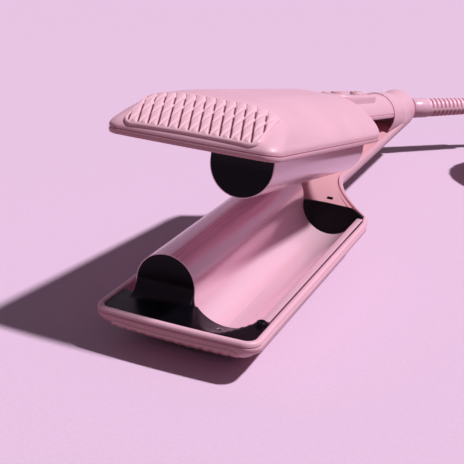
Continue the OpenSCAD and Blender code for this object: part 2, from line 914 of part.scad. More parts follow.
// The coil winds in and out by turns and climbs a third of a turn between its layers
function coil_layer(k) = floor(k / layer_cycle);
function coil_part(k) = min((k - coil_layer(k) * layer_cycle) / layer_steps, 1);
function coil_climb(k) = max(k - coil_layer(k) * layer_cycle - layer_steps, 0) / climb_steps;
function coil_radius(k) =
    let (travel = coil_pitch * coil_turns * coil_part(k) + 0.3 * sin(180 * coil_climb(k)))
    coil_layer(k) % 2 == 0 ? coil_out_r - travel : coil_in_r + travel;
wound = [for (k = [0:coil_layers * layer_cycle - climb_steps]) coil_at + [coil_radius(k) * cos(-15 * k),
    coil_radius(k) * sin(-15 * k), coil_low + coil_pitch * (coil_layer(k) + coil_climb(k))]];
coil_start = wound[0];
coil_end = wound[len(wound) - 1];
coil_exit = unit([coil_end[1] - coil_at[1], coil_at[0] - coil_end[0], 0]);
coil_route = concat([coil_start + [0, cord_d, 0]], wound, [coil_end + coil_exit * cord_d]);

// Least distance between stretches of the coil that are not neighbours
coil_least = min([for (i = [0:2:len(wound) - 1]) for (j = [i + 12:len(wound) - 1])
    norm(wound[i] - wound[j])]) - cord_d;
echo(least_coil_gap = coil_least);

function route_length(route, i = 1) =
    i == len(route) ? 0 : norm(route[i] - route[i - 1]) + route_length(route, i + 1);
echo(coil_length = route_length(wound));

module cord_lead() {
    color(pink) tube(concat([guard_tip, guard_tip + guard_dir * cord_d], cord_points,
        [coil_start + [0, cord_d, 0]]), cord_r, 10);
}

module cord_coil() {
    color(pink) tube(coil_route, cord_r, 6, 0);
}

tail_points = [[0, -6, 0], [-0.8, -15, -1.6], [-2.2, -25, -5.6], [-4.2, -36, -11], [-7, -47, -15.4],
    [-10, -58, -16.6], [-12.4, -68, -15.4], [-13, -75, -14.8], [-13, -81, -14.8]];

module cord_tail() {
    start = coil_end + coil_exit * cord_d;
    color(pink) tube(concat([start], [for (p = tail_points) start + p]), cord_r, 10);
}

plug_at = coil_end + coil_exit * cord_d + tail_points[len(tail_points) - 1];
plug_turn = 180;

module on_plug() {
    translate(plug_at) rotate([0, 0, plug_turn]) children();
}

module plug_guard() {
    color(pink) on_plug() rotate([-90, 0, 0])
        cylinder(r1 = cord_r + 0.6, r2 = plug_h / 2 - 2.5, h = 14);
}

// Plug body that widens towards the blades' face
module plug_body() {
    color(pink) on_plug() intersection() {
        translate([-plug_w / 2, 14, -plug_h / 2]) cube([plug_w, plug_len, plug_h]);
        translate([0, 0, -plug_h]) linear_extrude(2 * plug_h)
            polygon([[-6, 13], [6, 13], [plug_w / 2, 22], [plug_w / 2, 15 + plug_len],
                [-plug_w / 2, 15 + plug_len], [-plug_w / 2, 22]]);
    }
}

module plug_blades() {
    color(steel) on_plug() for (side = [-1, 1])
        translate([side * blade_gap / 2 - 0.75, 14 + plug_len, -3.2]) cube([1.5, blade_len, 6.4]);
}

// ---- Parts ----

lower_shell();
lower_nose_grip();
lower_end_cap();
lower_plate();
lower_rear_wall();
lower_inner_cover();
lower_heater();
lower_plate_carrier();
lower_heat_sensor();
lower_cap_screw();
upper_shell();
upper_nose_grip();
upper_end_cap();
upper_plate();
upper_rear_wall();
upper_inner_cover();
upper_heater();
upper_plate_carrier();
upper_heat_sensor();
upper_cap_screw();
control_panel();
display_window();
power_button();
plus_button();
minus_button();
circuit_board();
hinge_pin();
return_spring();
handle_screws();
swivel_ball();
cord_guard();
cord_lead();
cord_coil();
cord_tail();
plug_guard();
plug_body();
plug_blades();
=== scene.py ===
from math import atan, cos, degrees, hypot, pi, radians, sin, sqrt
import bpy
import bmesh
from mathutils import Matrix, Vector
from mathutils.bvhtree import BVHTree


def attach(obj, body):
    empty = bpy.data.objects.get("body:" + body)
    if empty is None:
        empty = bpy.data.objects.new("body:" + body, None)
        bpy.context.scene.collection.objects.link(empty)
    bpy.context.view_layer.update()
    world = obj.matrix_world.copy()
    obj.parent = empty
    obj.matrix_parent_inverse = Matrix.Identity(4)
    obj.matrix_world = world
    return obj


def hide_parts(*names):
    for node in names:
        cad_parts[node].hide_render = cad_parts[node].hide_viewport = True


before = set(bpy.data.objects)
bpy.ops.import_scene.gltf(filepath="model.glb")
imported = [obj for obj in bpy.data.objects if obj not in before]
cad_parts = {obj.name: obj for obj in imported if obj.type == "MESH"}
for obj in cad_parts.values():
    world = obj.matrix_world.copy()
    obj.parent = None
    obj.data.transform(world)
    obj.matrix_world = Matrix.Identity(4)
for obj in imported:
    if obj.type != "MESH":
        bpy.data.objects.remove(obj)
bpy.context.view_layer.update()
print("stage: frame loaded")

mm = 0.001  # the frame is in metres
# Lengths are millimetres on an arm's own axes: x across, y from the jaw's tip back, z up from its rim.
jaw = {
    "halfWidth": 32, "length": 140, "height": 18, "wall": 2.4, "corner": 6, "bow": 0.7, "band": 4.6,
    "noseLength": 18, "noseHeight": 15.8, "sideSlope": 11, "crown": 1.5, "flatHalf": 9,
    "noseFuller": 2.2,  # the flanks are fuller beside the nose
}
hinge = {"y": 302, "z": 12, "openAngle": 10.7, "closedGap": 7.6}
handle = {"radius": 12, "inner": 9.8, "from": 167, "to": 286, "upperTo": 291, "gap": 0.3, "blockGap": 0.4,
          "lowerUp": 12, "upperUp": -4.4, "rimWide": 2.2, "rimTurn": 0.24,
          "stations": [170, 178, 190, 215, 240, 262, 280]}
halfLength = 160
plate = {"barrel": 12, "trough": 13.5, "waveX": 12.75, "barrelUp": 4.8, "troughUp": 2.8, "from": 21,
         "to": 144, "thick": 1.2, "flangeZ": -0.3, "edgeX": 28.85}

toMetres = Matrix.Scale(mm, 4)
lowerArm = toMetres @ Matrix.Translation((0, -halfLength, jaw["height"]))
upperArm = (lowerArm @ Matrix.Translation((0, hinge["y"], hinge["z"]))
            @ Matrix.Rotation(radians(-hinge["openAngle"]), 4, "X")
            @ Matrix.Translation((0, -hinge["y"], hinge["closedGap"] - hinge["z"]))
            @ Matrix.Rotation(pi, 4, "Y"))
arms = {
    "lower": {"place": lowerArm, "body": "lower_arm", "up": handle["lowerUp"]},
    "upper": {"place": upperArm, "body": "upper_arm", "up": handle["upperUp"]},
}

# camera


def linkObject(name, data):
    made = bpy.data.objects.new(name, data)
    bpy.context.collection.objects.link(made)
    return made


view = {"place": (0.13353, -0.45245, 0.17881), "azimuth": 20.82, "elevation": 20.72, "roll": 4.28,
        "lens": 79.3, "film": 36, "shiftX": -0.01376, "shiftY": -0.0152}


def addCamera():
    azimuth = radians(view["azimuth"])
    elevation = radians(view["elevation"])
    roll = radians(view["roll"])
    forward = Vector((-sin(azimuth) * cos(elevation), cos(azimuth) * cos(elevation), -sin(elevation)))
    level = Vector((cos(azimuth), sin(azimuth), 0))
    upright = level.cross(forward)
    right = level * cos(roll) + upright * sin(roll)
    up = right.cross(forward)
    data = bpy.data.cameras.new("camera")
    data.lens = view["lens"]
    data.sensor_width = view["film"]
    data.shift_x = view["shiftX"]
    data.shift_y = view["shiftY"]
    camera = linkObject("camera", data)
    turn = Matrix((right, up, -forward)).transposed().to_4x4()
    camera.matrix_world = Matrix.Translation(view["place"]) @ turn
    bpy.context.scene.camera = camera


addCamera()


# shader maths

def mathStep(operation, turned=False):
    def work(self, other):
        first, second = (other, self) if turned else (self, other)
        return self.nodes.node("ShaderNodeMath", {"operation": operation}, {0: first, 1: second})
    return work


class Wire:  # a shader socket that takes part in Python expressions
    __add__, __radd__ = mathStep("ADD"), mathStep("ADD", True)
    __sub__, __rsub__ = mathStep("SUBTRACT"), mathStep("SUBTRACT", True)
    __mul__, __rmul__ = mathStep("MULTIPLY"), mathStep("MULTIPLY", True)
    largest = mathStep("MAXIMUM")

    def __init__(self, nodes, socket):
        self.nodes = nodes
        self.socket = socket


def setStops(ramp, stops):
    while len(ramp.elements) < len(stops):
        ramp.elements.new(0.5)
    for element, (place, shade) in zip(ramp.elements, stops):
        element.position = place
        element.color = (shade, shade, shade, 1)


class Nodes:  # a node tree with one step that makes any node
    def __init__(self, tree):
        self.tree = tree

    def feed(self, socket, value):
        if isinstance(value, Wire):
            self.tree.links.new(value.socket, socket)
        else:
            socket.default_value = value

    def node(self, kind, settings, sockets, output=0):
        made = self.tree.nodes.new(kind)
        for name, value in settings.items():
            if name == "stops":
                setStops(made.color_ramp, value)
            else:
                setattr(made, name, value)
        for name, value in sockets.items():
            self.feed(made.inputs[name], value)
        return Wire(self, made.outputs[output])


class Finish(Nodes):  # a material with the few steps that every finish here shares
    def __init__(self, name, fixed):
        self.material = bpy.data.materials.new(name)
        self.material.use_nodes = True
        super().__init__(self.material.node_tree)
        self.shader = self.tree.nodes["Principled BSDF"]
        self.place = self.node("ShaderNodeTexCoord", {}, {}, "Object")
        self.use(fixed)

    def stretched(self, stretch, turn=(0, 0, 0), where=None):
        sockets = {"Vector": where or self.place, "Scale": stretch, "Rotation": turn}
        return self.node("ShaderNodeMapping", {}, sockets)

    def noise(self, scale, detail=2.0, where=None):
        sockets = {"Vector": where or self.place, "Scale": scale, "Detail": detail}
        return self.node("ShaderNodeTexNoise", {}, sockets)

    def ramp(self, value, stops):
        return self.node("ShaderNodeValToRGB", {"stops": stops}, {"Fac": value})

    def mix(self, factor, first, second):
        return self.node("ShaderNodeMix", {"data_type": "RGBA"}, {0: factor, 6: first, 7: second}, 2)

    def bump(self, height, distance, strength):
        sockets = {"Height": height, "Distance": distance, "Strength": strength}
        return self.node("ShaderNodeBump", {}, sockets)

    def use(self, sockets):
        for name, value in sockets.items():
            self.feed(self.shader.inputs[name], value)
        return self.material

    def dress(self, base, roughness, bumps):
        return self.use({"Base Color": base, "Roughness": roughness, "Normal": bumps})


def tint(red, green, blue):  # a colour as a screen shows it, 0 to 255
    parts = [part / 255 for part in (red, green, blue)]
    return tuple(part / 12.92 if part < 0.04045 else ((part + 0.055) / 1.055) ** 2.4 for part in parts) + (1,)


def dimmed(colour, share, added=0):
    return tuple(part * share + added for part in colour[:3]) + (1,)


def mouldedFinish(name, colour, rough, grain=2600, grainDeep=0.000012, specular=0.5):
    finish = Finish(name, {"Specular IOR Level": specular})
    dull = dimmed(colour, 0.95)
    clouds = finish.noise(38, 3.0)
    fleck = finish.noise(grain, 1.0)
    flow = finish.noise(60, 4.0, finish.stretched((1, 0.18, 1)))
    base = finish.mix(finish.ramp(clouds, [(0.35, 0.0), (0.65, 1.0)]), dull, colour)
    base = finish.mix(finish.ramp(fleck, [(0.62, 0.0), (0.75, 0.22)]), base, dull)
    roughness = rough + (flow - 0.5) * 0.12 + (fleck - 0.5) * 0.08
    bumps = finish.bump(fleck + flow * 0.6, grainDeep, 0.6)
    return finish.dress(base, roughness, bumps)


def gripFinish():  # the housing's colour, with painted shade down in the slits
    finish = Finish("gripPink", {"Specular IOR Level": 0.45})
    depth = finish.node("ShaderNodeAttribute", {"attribute_name": "slitDepth"}, {}, "Fac")
    clouds = finish.noise(45, 3.0)
    fleck = finish.noise(3200, 1.0)
    base = finish.mix(clouds, tint(246, 192, 213), tint(250, 200, 220))
    base = finish.mix(finish.ramp(fleck, [(0.6, 0.0), (0.75, 0.2)]), base, tint(226, 166, 188))
    # painted shade: dark red-brown where the slits' shade layer marks them
    base = finish.mix(finish.ramp(depth, [(0.1, 0.0), (0.5, 0.92)]), base, tint(108, 38, 50))
    roughness = 0.32 + (fleck - 0.5) * 0.08 + depth * 0.3
    bumps = finish.bump(fleck, 0.000008, 0.6)
    return finish.dress(base, roughness, bumps)


def pearlFinish(name, colour, sheen, tilt):  # the tilt lays the streaks along the arm
    finish = Finish(name, {"Coat Roughness": 0.12, "Specular IOR Level": 0.6})
    level = finish.stretched((1, 1, 1), (radians(tilt), 0, 0))
    streaks = finish.noise(420, 2.0, finish.stretched((1, 0.01, 1), where=level))
    wide = finish.noise(90, 2.0, finish.stretched((1, 0.03, 1), where=level))
    flakes = finish.node("ShaderNodeTexVoronoi", {}, {"Vector": finish.place, "Scale": 5200})
    glitter = finish.ramp(flakes, [(0.05, 1.0), (0.22, 0.0)])
    base = finish.mix(wide * 0.6, colour, sheen)
    base = finish.mix(glitter * 0.06, base, tint(255, 236, 244))
    roughness = 0.27 + (streaks - 0.5) * 0.02 + (wide - 0.5) * 0.03
    bumps = finish.bump(flakes, 0.0000006, 0.3)
    finish.use({"Metallic": 0.28 + glitter * 0.3, "Coat Weight": 0.35 + (wide - 0.5) * 0.06})
    return finish.dress(base, roughness, bumps)


def darkFinish(name, colour, rough):
    finish = Finish(name, {"Specular IOR Level": 0.12})
    spark = finish.noise(3600, 1.0)
    wear = finish.noise(140, 5.0)
    pale = dimmed(colour, 1.7, 0.001)
    base = finish.mix(finish.ramp(wear, [(0.45, 0.0), (0.8, 0.6)]), colour, pale)
    roughness = rough + (wear - 0.5) * 0.18
    bumps = finish.bump(spark, 0.00001, 0.55)
    return finish.dress(base, roughness, bumps)


def metalFinish(name, colour, rough, stretch):
    finish = Finish(name, {"Metallic": 1.0})
    brushed = finish.noise(1800, 3.0, finish.stretched(stretch))
    stain = finish.noise(160, 3.0)
    base = finish.mix(finish.ramp(stain, [(0.4, 0.0), (0.7, 0.5)]), colour, dimmed(colour, 0.72))
    base = finish.mix(brushed * 0.2, base, tint(250, 250, 252))
    bumps = finish.bump(brushed, 0.00002, 0.5)
    roughness = rough + (brushed - 0.5) * 0.2
    return finish.dress(base, roughness, bumps)


def mineralFinish(name, colour, speck, rough):
    finish = Finish(name, {})
    grains = finish.noise(1300, 4.0)
    patch = finish.noise(150, 2.0)
    base = finish.mix(finish.ramp(grains, [(0.45, 0.0), (0.72, 1.0)]), colour, speck)
    bumps = finish.bump(grains, 0.00006, 0.6)
    return finish.use({"Base Color": base, "Roughness": rough + (patch - 0.5) * 0.1, "Normal": bumps})


def boardFinish():
    finish = Finish("greenBoard", {"Specular IOR Level": 0.5})
    tracks = finish.node("ShaderNodeTexBrick", {"offset": 0.5}, {
        "Vector": finish.place, "Scale": 420, "Mortar Size": 0.09, "Mortar Smooth": 0.2}, "Fac")
    weave = finish.noise(2200, 1.0)
    base = finish.mix(tracks, tint(22, 92, 52), tint(58, 138, 84))
    base = finish.mix(weave * 0.25, base, tint(12, 60, 34))
    bumps = finish.bump(tracks, 0.00004, 0.5)
    return finish.use({"Base Color": base, "Roughness": 0.35 + weave * 0.1, "Normal": bumps})


def windowFinish():
    finish = Finish("smokedWindow", {"Coat Roughness": 0.03, "IOR": 1.5})
    dust = finish.noise(900, 4.0)
    rings = finish.noise(50, 2.0)
    base = finish.mix(finish.ramp(dust, [(0.6, 0.0), (0.75, 0.4)]), tint(14, 12, 20), tint(58, 50, 62))
    roughness = 0.06 + dust * 0.1
    return finish.use({"Base Color": base, "Roughness": roughness, "Coat Weight": 0.6 + rings * 0.2})


def cordFinish():
    finish = Finish("cordJacket", {"Specular IOR Level": 0.42})
    skin = finish.noise(1500, 3.0)
    dirt = finish.noise(45, 3.0)
    base = finish.mix(finish.ramp(dirt, [(0.35, 0.0), (0.7, 1.0)]), tint(224, 158, 184), tint(236, 172, 196))
    bumps = finish.bump(skin, 0.00003, 0.5)
    return finish.use({"Base Color": base, "Roughness": 0.42 + (skin - 0.5) * 0.2, "Normal": bumps})


housingPink = mouldedFinish("housingPink", tint(243, 188, 211), 0.4, specular=0.45)
gripPink = gripFinish()
coverPink = mouldedFinish("coverPink", tint(240, 178, 193), 0.46, grain=3000)
collarPink = mouldedFinish("collarPink", tint(240, 188, 216), 0.24, grain=2800, grainDeep=0.000006)
guardPink = mouldedFinish("guardPink", tint(252, 203, 226), 0.4, grain=2400, grainDeep=0.00002)
buttonPink = mouldedFinish("buttonPink", tint(246, 200, 216), 0.22, grain=3000, grainDeep=0.000005)
panelPink = mouldedFinish("panelPink", tint(228, 164, 190), 0.2, grain=2800, grainDeep=0.000005)
pearls = {side: pearlFinish(side + "Pearl", tint(248, 201, 222), tint(251, 211, 231), tilt)
          for side, tilt in (("lower", 0), ("upper", hinge["openAngle"]))}
capBlack = darkFinish("capBlack", tint(9, 7, 14), 0.3)
wallBlack = darkFinish("wallBlack", tint(9, 7, 13), 0.34)
steelBrushed = metalFinish("steelBrushed", tint(196, 198, 204), 0.32, (1, 0.04, 1))
springSteel = metalFinish("springSteel", tint(170, 172, 180), 0.28, (0.05, 1, 1))
bladeNickel = metalFinish("bladeNickel", tint(222, 216, 200), 0.22, (1, 0.05, 1))
heaterWhite = mineralFinish("heaterWhite", tint(236, 232, 222), tint(206, 200, 188), 0.7)
carrierMica = mineralFinish("carrierMica", tint(196, 180, 156), tint(142, 120, 94), 0.55)
sensorCopper = metalFinish("sensorCopper", tint(196, 124, 84), 0.35, (1, 0.1, 1))
greenBoard = boardFinish()
smokedWindow = windowFinish()
cordJacket = cordFinish()
print("stage: finishes")


# shared modelling steps

def bend(start, middle, end, steps):
    points = []
    for step in range(steps + 1):
        t = step / steps
        points.append(tuple(a * (1 - t) ** 2 + 2 * b * t * (1 - t) + c * t * t
                            for a, b, c in zip(start, middle, end)))
    return points


def arcPoints(centre, radius, start, end, steps):
    angles = [radians(start + (end - start) * step / steps) for step in range(steps + 1)]
    return [(centre[0] + radius * cos(angle), centre[1] + radius * sin(angle)) for angle in angles]


def readAlong(path, where):  # the first number of a path at its second number
    for (outA, atA), (outB, atB) in zip(path, path[1:]):
        if atA <= where <= atB and atB > atA:
            return outA + (outB - outA) * (where - atA) / (atB - atA)
    return path[-1][0] if where > path[-1][1] else path[0][0]


def neighbours(row, closed):
    return list(zip(row, row[1:] + row[:1])) if closed else list(zip(row, row[1:]))


def loft(shape, outlines, closed=False):  # grows a skin from the first outline through the others
    first = row = [shape.verts.new(point) for point in outlines[0]]
    edges = [shape.edges.new(pair) for pair in neighbours(row, closed)]
    for outline in outlines[1:]:
        grown = bmesh.ops.extrude_edge_only(shape, edges=edges)["geom"]
        fresh = {item for item in grown if isinstance(item, bmesh.types.BMVert)}
        follow = {}
        for vert in row:
            for edge in vert.link_edges:
                if edge.other_vert(vert) in fresh:
                    follow[vert] = edge.other_vert(vert)
        row = [follow[vert] for vert in row]
        for vert, point in zip(row, outline):
            vert.co = point
        edges = [shape.edges.get(pair) for pair in neighbours(row, closed)]
    return row, first


def loftSolid(shape, outlines):  # the same from closed outlines, with a face on each end
    for row in loft(shape, outlines, closed=True):
        bmesh.ops.contextual_create(shape, geom=list(row))


def closeHoles(shape):
    bounds = [edge for edge in shape.edges if len(edge.link_faces) == 1]
    bmesh.ops.holes_fill(shape, edges=bounds, sides=0)


def tidyShape(shape, join=0.002):
    bmesh.ops.remove_doubles(shape, verts=shape.verts, dist=join)
    bmesh.ops.dissolve_degenerate(shape, dist=join * 0.5, edges=shape.edges)
    bmesh.ops.recalc_face_normals(shape, faces=shape.faces)


def nearestFace(shape, place):
    return min(shape.faces, key=lambda face: (face.calc_center_median() - Vector(place)).length)


def turnFaces(shape, face, outward):  # an open skin points the way that one of its faces should
    if face.normal.dot(Vector(outward)) < 0:
        bmesh.ops.reverse_faces(shape, faces=shape.faces)


def addObject(name, shape, place):  # the object stays at the origin, with its place in its mesh
    bmesh.ops.transform(shape, matrix=place, verts=shape.verts)
    mesh = bpy.data.meshes.new(name)
    shape.to_mesh(mesh)
    shape.free()
    return linkObject(name, mesh)


def smoothMesh(mesh, sharp=38):
    mesh.shade_smooth()
    mesh.set_sharp_from_angle(angle=radians(sharp))


def makePiece(name, shape, material, body, place, slotName, stands=(), sharp=38, join=0.002):
    if join:
        tidyShape(shape, join)
    piece = addObject(name, shape, place)
    smoothMesh(piece.data, sharp)
    piece.data.materials.append(material)
    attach(piece, body)
    if stands:
        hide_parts(*stands)
    return piece


def addToArm(side, name, node, shape, material, slotName, shift=Matrix(), **more):
    place = arms[side]["place"] @ shift
    return makePiece(side + name, shape, material, arms[side]["body"], place, slotName, [side + node], **more)


def roundEdges(shape, width, segments=2, angle=40):
    edges = [edge for edge in shape.edges if len(edge.link_faces) == 2
             and edge.calc_face_angle(0) > radians(angle)]
    bmesh.ops.bevel(shape, geom=edges, offset=width, affect="EDGES", segments=segments, profile=0.5,
                    material=-1, clamp_overlap=True)


def spinProfile(shape, profile, steps=64):  # profile: distance out, place along y
    row = [shape.verts.new((out, along, 0)) for out, along in profile]
    edges = [shape.edges.new(pair) for pair in neighbours(row, False)]
    bmesh.ops.spin(shape, geom=row + edges, cent=(0, 0, 0), axis=(0, 1, 0), angle=2 * pi, steps=steps,
                   use_merge=True)


def dressNode(name, material, bevel=0.0):  # a CAD node keeps its shape and gets its finish
    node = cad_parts[name]
    node.data.materials.clear()
    node.data.materials.append(material)
    weld = node.modifiers.new("weld", "WELD")
    weld.merge_threshold = 0.00002
    if bevel:
        soft = node.modifiers.new("softEdges", "BEVEL")
        soft.width = bevel * mm
        soft.segments = 2
        soft.limit_method = "ANGLE"
        soft.angle_limit = radians(50)
    return node


# cord

cord = {"radius": 3.0, "guardTurn": 45, "guardTo": 66.7, "ballY": 314.6, "height": 30, "turnSteps": 24,
        "climbSteps": 8, "climbOut": 0.3, "coilIn": 27, "coilTurns": 2, "coilLayers": 4, "coilGap": 0.6,
        "coilLow": 3.1, "coilRight": (133.2, 150), "smoothSteps": 6}
cordPoints = [(58.5, 211.5, 29.4), (67.5, 215.5, 26.8), (78, 216.8, 22), (89, 215.3, 16.5), (100, 211, 11),
              (110, 204.5, 6.8), (118.5, 196.5, 4.2), (125.5, 187, 3.2), (131, 177, 3.1), (133.2, 166, 3.1)]
tailPoints = [(0, -6, 0), (-0.8, -15, -1.6), (-2.2, -25, -5.6), (-4.2, -36, -11), (-7, -47, -15.4),
              (-10, -58, -16.6), (-12.4, -68, -15.4), (-13, -75, -14.8), (-13, -81, -14.8)]
guardAim = Vector((sin(radians(cord["guardTurn"])), cos(radians(cord["guardTurn"])), 0))
guardPivot = Vector((0, cord["ballY"] - halfLength, cord["height"]))
guardTip = guardPivot + guardAim * cord["guardTo"]
cordAcross = 2 * cord["radius"]


def coilPoints():  # winds in and out by turns, and climbs a third of a turn between its layers
    pitch = cordAcross + cord["coilGap"]
    reach = cord["coilTurns"] * pitch
    outside = cord["coilIn"] + reach
    steps = cord["turnSteps"] * cord["coilTurns"]
    climbSteps = cord["climbSteps"]
    middle = Vector((cord["coilRight"][0] - outside, cord["coilRight"][1], 0))
    points = []
    for layer in range(cord["coilLayers"]):
        for step in range(steps + (climbSteps if layer < cord["coilLayers"] - 1 else 1)):
            climb = max(step - steps, 0) / climbSteps
            travel = reach * min(step / steps, 1) + cord["climbOut"] * sin(pi * climb)
            out = outside - travel if layer % 2 == 0 else cord["coilIn"] + travel
            angle = radians(-360 / cord["turnSteps"] * (layer * (steps + climbSteps) + step))
            up = cord["coilLow"] + pitch * (layer + climb)
            points.append(middle + Vector((out * cos(angle), out * sin(angle), up)))
    return points


coil = coilPoints()
coilLeave = Vector((0, -cordAcross, 0))
tailStart = coil[-1] + coilLeave
plugAt = tailStart + Vector(tailPoints[-1])


def smoothRoute(points):  # a curve through every point, rounder than the points alone
    dense = []
    for index in range(len(points) - 1):
        before = points[max(index - 1, 0)]
        a, b = points[index], points[index + 1]
        after = points[min(index + 2, len(points) - 1)]
        for step in range(cord["smoothSteps"]):
            t = step / cord["smoothSteps"]
            dense.append(0.5 * (2 * a + (b - before) * t + (2 * before - 5 * a + 4 * b - after) * t * t
                                + (3 * a - before - 3 * b + after) * t * t * t))
    dense.append(points[-1])
    return dense


def addCord():
    lead = [guardTip - guardAim * 3, guardTip, guardTip + guardAim * cordAcross]
    lead += [Vector(point) for point in cordPoints] + [coil[0] - coilLeave]
    tail = [tailStart] + [tailStart + Vector(point) for point in tailPoints]
    tail.append(plugAt + Vector((0, -3, 0)))
    route = smoothRoute(lead) + coil + smoothRoute(tail)
    data = bpy.data.curves.new("mainsCord", "CURVE")
    data.dimensions = "3D"
    data.bevel_depth = cord["radius"] * mm
    data.bevel_resolution = 6
    data.use_fill_caps = True
    line = data.splines.new("POLY")
    line.points.add(len(route) - 1)
    for point, where in zip(line.points, route):
        point.co = (*(where * mm), 1)
    data.materials.append(cordJacket)
    piece = linkObject("mainsCord", data)
    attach(piece, "lower_arm")
    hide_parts("cord_lead", "cord_coil", "cord_tail")


# plug

plug = {"guard": 14, "body": 30, "width": 24, "height": 16, "ribs": 5, "ribPitch": 2.4, "guardRibs": 6}
plugPlace = toMetres @ Matrix.Translation(plugAt) @ Matrix.Rotation(pi, 4, "Z")


def plugOutline(width, height, corner, along):
    points = []
    for turn, (sideX, sideZ) in enumerate([(1, 1), (-1, 1), (-1, -1), (1, -1)]):
        centre = (sideX * (width / 2 - corner), sideZ * (height / 2 - corner))
        for x, z in arcPoints(centre, corner, 90 * turn, 90 * turn + 90, 5):
            points.append((x, along, z))
    return points


def addPlugBody():
    full, tall = plug["width"], plug["height"]
    start, end = plug["guard"], plug["guard"] + plug["body"]
    stations = [(9, 9, 4.2, start + 0.1), (12, 11.2, 5.2, start + 0.6), (14.5, 12.8, 5.6, start + 2.5),
                (18, 14.4, 5.6, start + 5), (22, 15.4, 5.2, start + 8), (full - 0.4, 15.8, 4.6, start + 11)]
    for rib in range(plug["ribs"]):
        at = start + 13 + rib * plug["ribPitch"]
        stations += [(full, tall, 4, at), (full - 0.1, tall, 4, at + 0.9)]
        stations += [(full - 1.2, tall - 1, 3.6, at + deep) for deep in (1.1, 1.6)]
        stations.append((full - 0.1, tall, 4, at + 1.8))
    stations += [(full, tall, 4, end - 3), (full, tall, 4, end - 1), (full - 0.5, tall - 0.5, 3.8, end - 0.3),
                 (full - 1.6, tall - 1.6, 3.2, end), (full - 4, tall - 4, 2.4, end - 0.05)]
    shape = bmesh.new()
    loftSolid(shape, [plugOutline(*station) for station in stations])
    return makePiece("plugBody", shape, guardPink, "lower_arm", plugPlace, "plug", ["plug_body"])


def addPlugGuard():
    shape = bmesh.new()
    profile = [(3.05, 0), (3.6, 0.2), (3.75, 0.8)]
    for rib in range(plug["guardRibs"]):  # each rib stands a little further out than the last
        at = 1.4 + rib * 2.0
        out = 3.8 + rib * 0.3
        profile += [(out, at), (out + 0.05, at + 1.1), (out - 0.6, at + 1.25), (out - 0.6, at + 1.75)]
    profile += [(5.5, 13.6), (5.5, 14.4), (3.05, 14.4)]
    spinProfile(shape, profile, 40)
    return makePiece("plugGuard", shape, guardPink, "lower_arm", plugPlace, "guard", ["plug_guard"])


plugPieces = [addPlugBody(), addPlugGuard(), dressNode("plug_blades", bladeNickel, 0.3)]
addCord()


# housings

rimSteps = [(2.2, 0.2), (1.8, 0.0), (1.0, 0.0), (0.45, 0.22), (0.12, 0.75), (0.0, 1.35), (0.0, 1.72),
            (0.4, 1.86), (0.5, 2.02), (0.4, 2.18), (0.0, 2.34), (0.0, 2.7)]
innerDepths = [15.5, 15.2, 14.4, 13, 11, 9, 7, 5, 3.5, 2, 0.8]
outerDepths = [3.1, 3.5, 4.0, 4.7, 5.5, 6.4, 7.6, 9, 10.4, 11.8, 13, 14, 14.8, 15.5, 16.1, 16.6, 17, 17.35,
               17.6, 17.8, 17.93]
planSteps = {"side": 16, "corner": 12, "front": 9}
neck = {"from": 147.2, "shoulder": 143.6, "drawIn": 2.3, "rise": 1.5, "steps": 18, "shrinkX": 1.6,
        "shrinkZ": 0.6}


def sideLine(inset):  # how far out a housing's side is at each depth below the rim
    wide = jaw["halfWidth"]
    band = jaw["band"]
    foot = (wide - 2.4 - 0.8 * inset, band + 3 - 0.6 * inset)
    ridge = (wide - jaw["sideSlope"] - 0.5 * inset, jaw["height"] - jaw["crown"] - inset)
    edge = bend((wide - inset, band - 1), (wide - 0.2 - inset, band + 0.4 - 0.4 * inset), foot, 5)
    flank = bend(foot, ridge, (jaw["flatHalf"], jaw["height"] - inset), 24)
    return [(wide - inset, 0)] + edge + flank[1:]


noseSlope = (jaw["noseHeight"] - jaw["band"]) / jaw["noseLength"]
noseTurn = jaw["noseLength"] + (jaw["height"] - jaw["noseHeight"]) / noseSlope  # where the slope would end
flatFrom = 1.8 * noseTurn


def frontLine(inset):  # how far back the nose is at each depth below the rim
    low = jaw["band"] - inset
    top = jaw["height"] - inset
    lip = [(inset, -9), (inset, low - 1.4), (inset + 0.4, low - 0.5), (inset + 1.4, low + 1.4 * noseSlope)]
    return lip + bend((jaw["noseLength"], jaw["noseHeight"] - inset), (noseTurn, top), (flatFrom, top), 20)


def clamp(value):
    return max(0.0, min(1.0, value))


def fuller(depth, y):  # extra width beside the nose that fades towards the middle of the jaw
    deep = clamp((depth - 6) / 6) * clamp((17.8 - depth) / 2.5)
    fade = clamp((62 - y) / 44)
    return jaw["noseFuller"] * deep * fade * fade * (3 - 2 * fade)


def planLoop(out, front, corner, depth):  # one level of a housing, from its rear left round the nose
    bow = jaw["bow"] * out / jaw["halfWidth"]
    reach = out + fuller(depth, front + bow + corner)
    corner = min(corner, 0.9 * reach) if reach > 0 else 0
    turnY = front + bow + corner
    half = []
    for step in range(planSteps["side"]):
        y = jaw["length"] + (turnY - jaw["length"]) * step / planSteps["side"]
        half.append((out + fuller(depth, y) if out > 0 else 0, y))
    half += arcPoints((reach - corner, turnY), corner, 0, -90, planSteps["corner"])
    for step in range(1, planSteps["front"] + 1):
        x = (reach - corner) * (1 - step / planSteps["front"])
        half.append((x, front + bow * (x / max(reach - corner, 0.01)) ** 2))
    left = [(-x, y, -depth) for x, y in half]
    right = [(x, y, -depth) for x, y in reversed(half[:-1])]
    return left + right


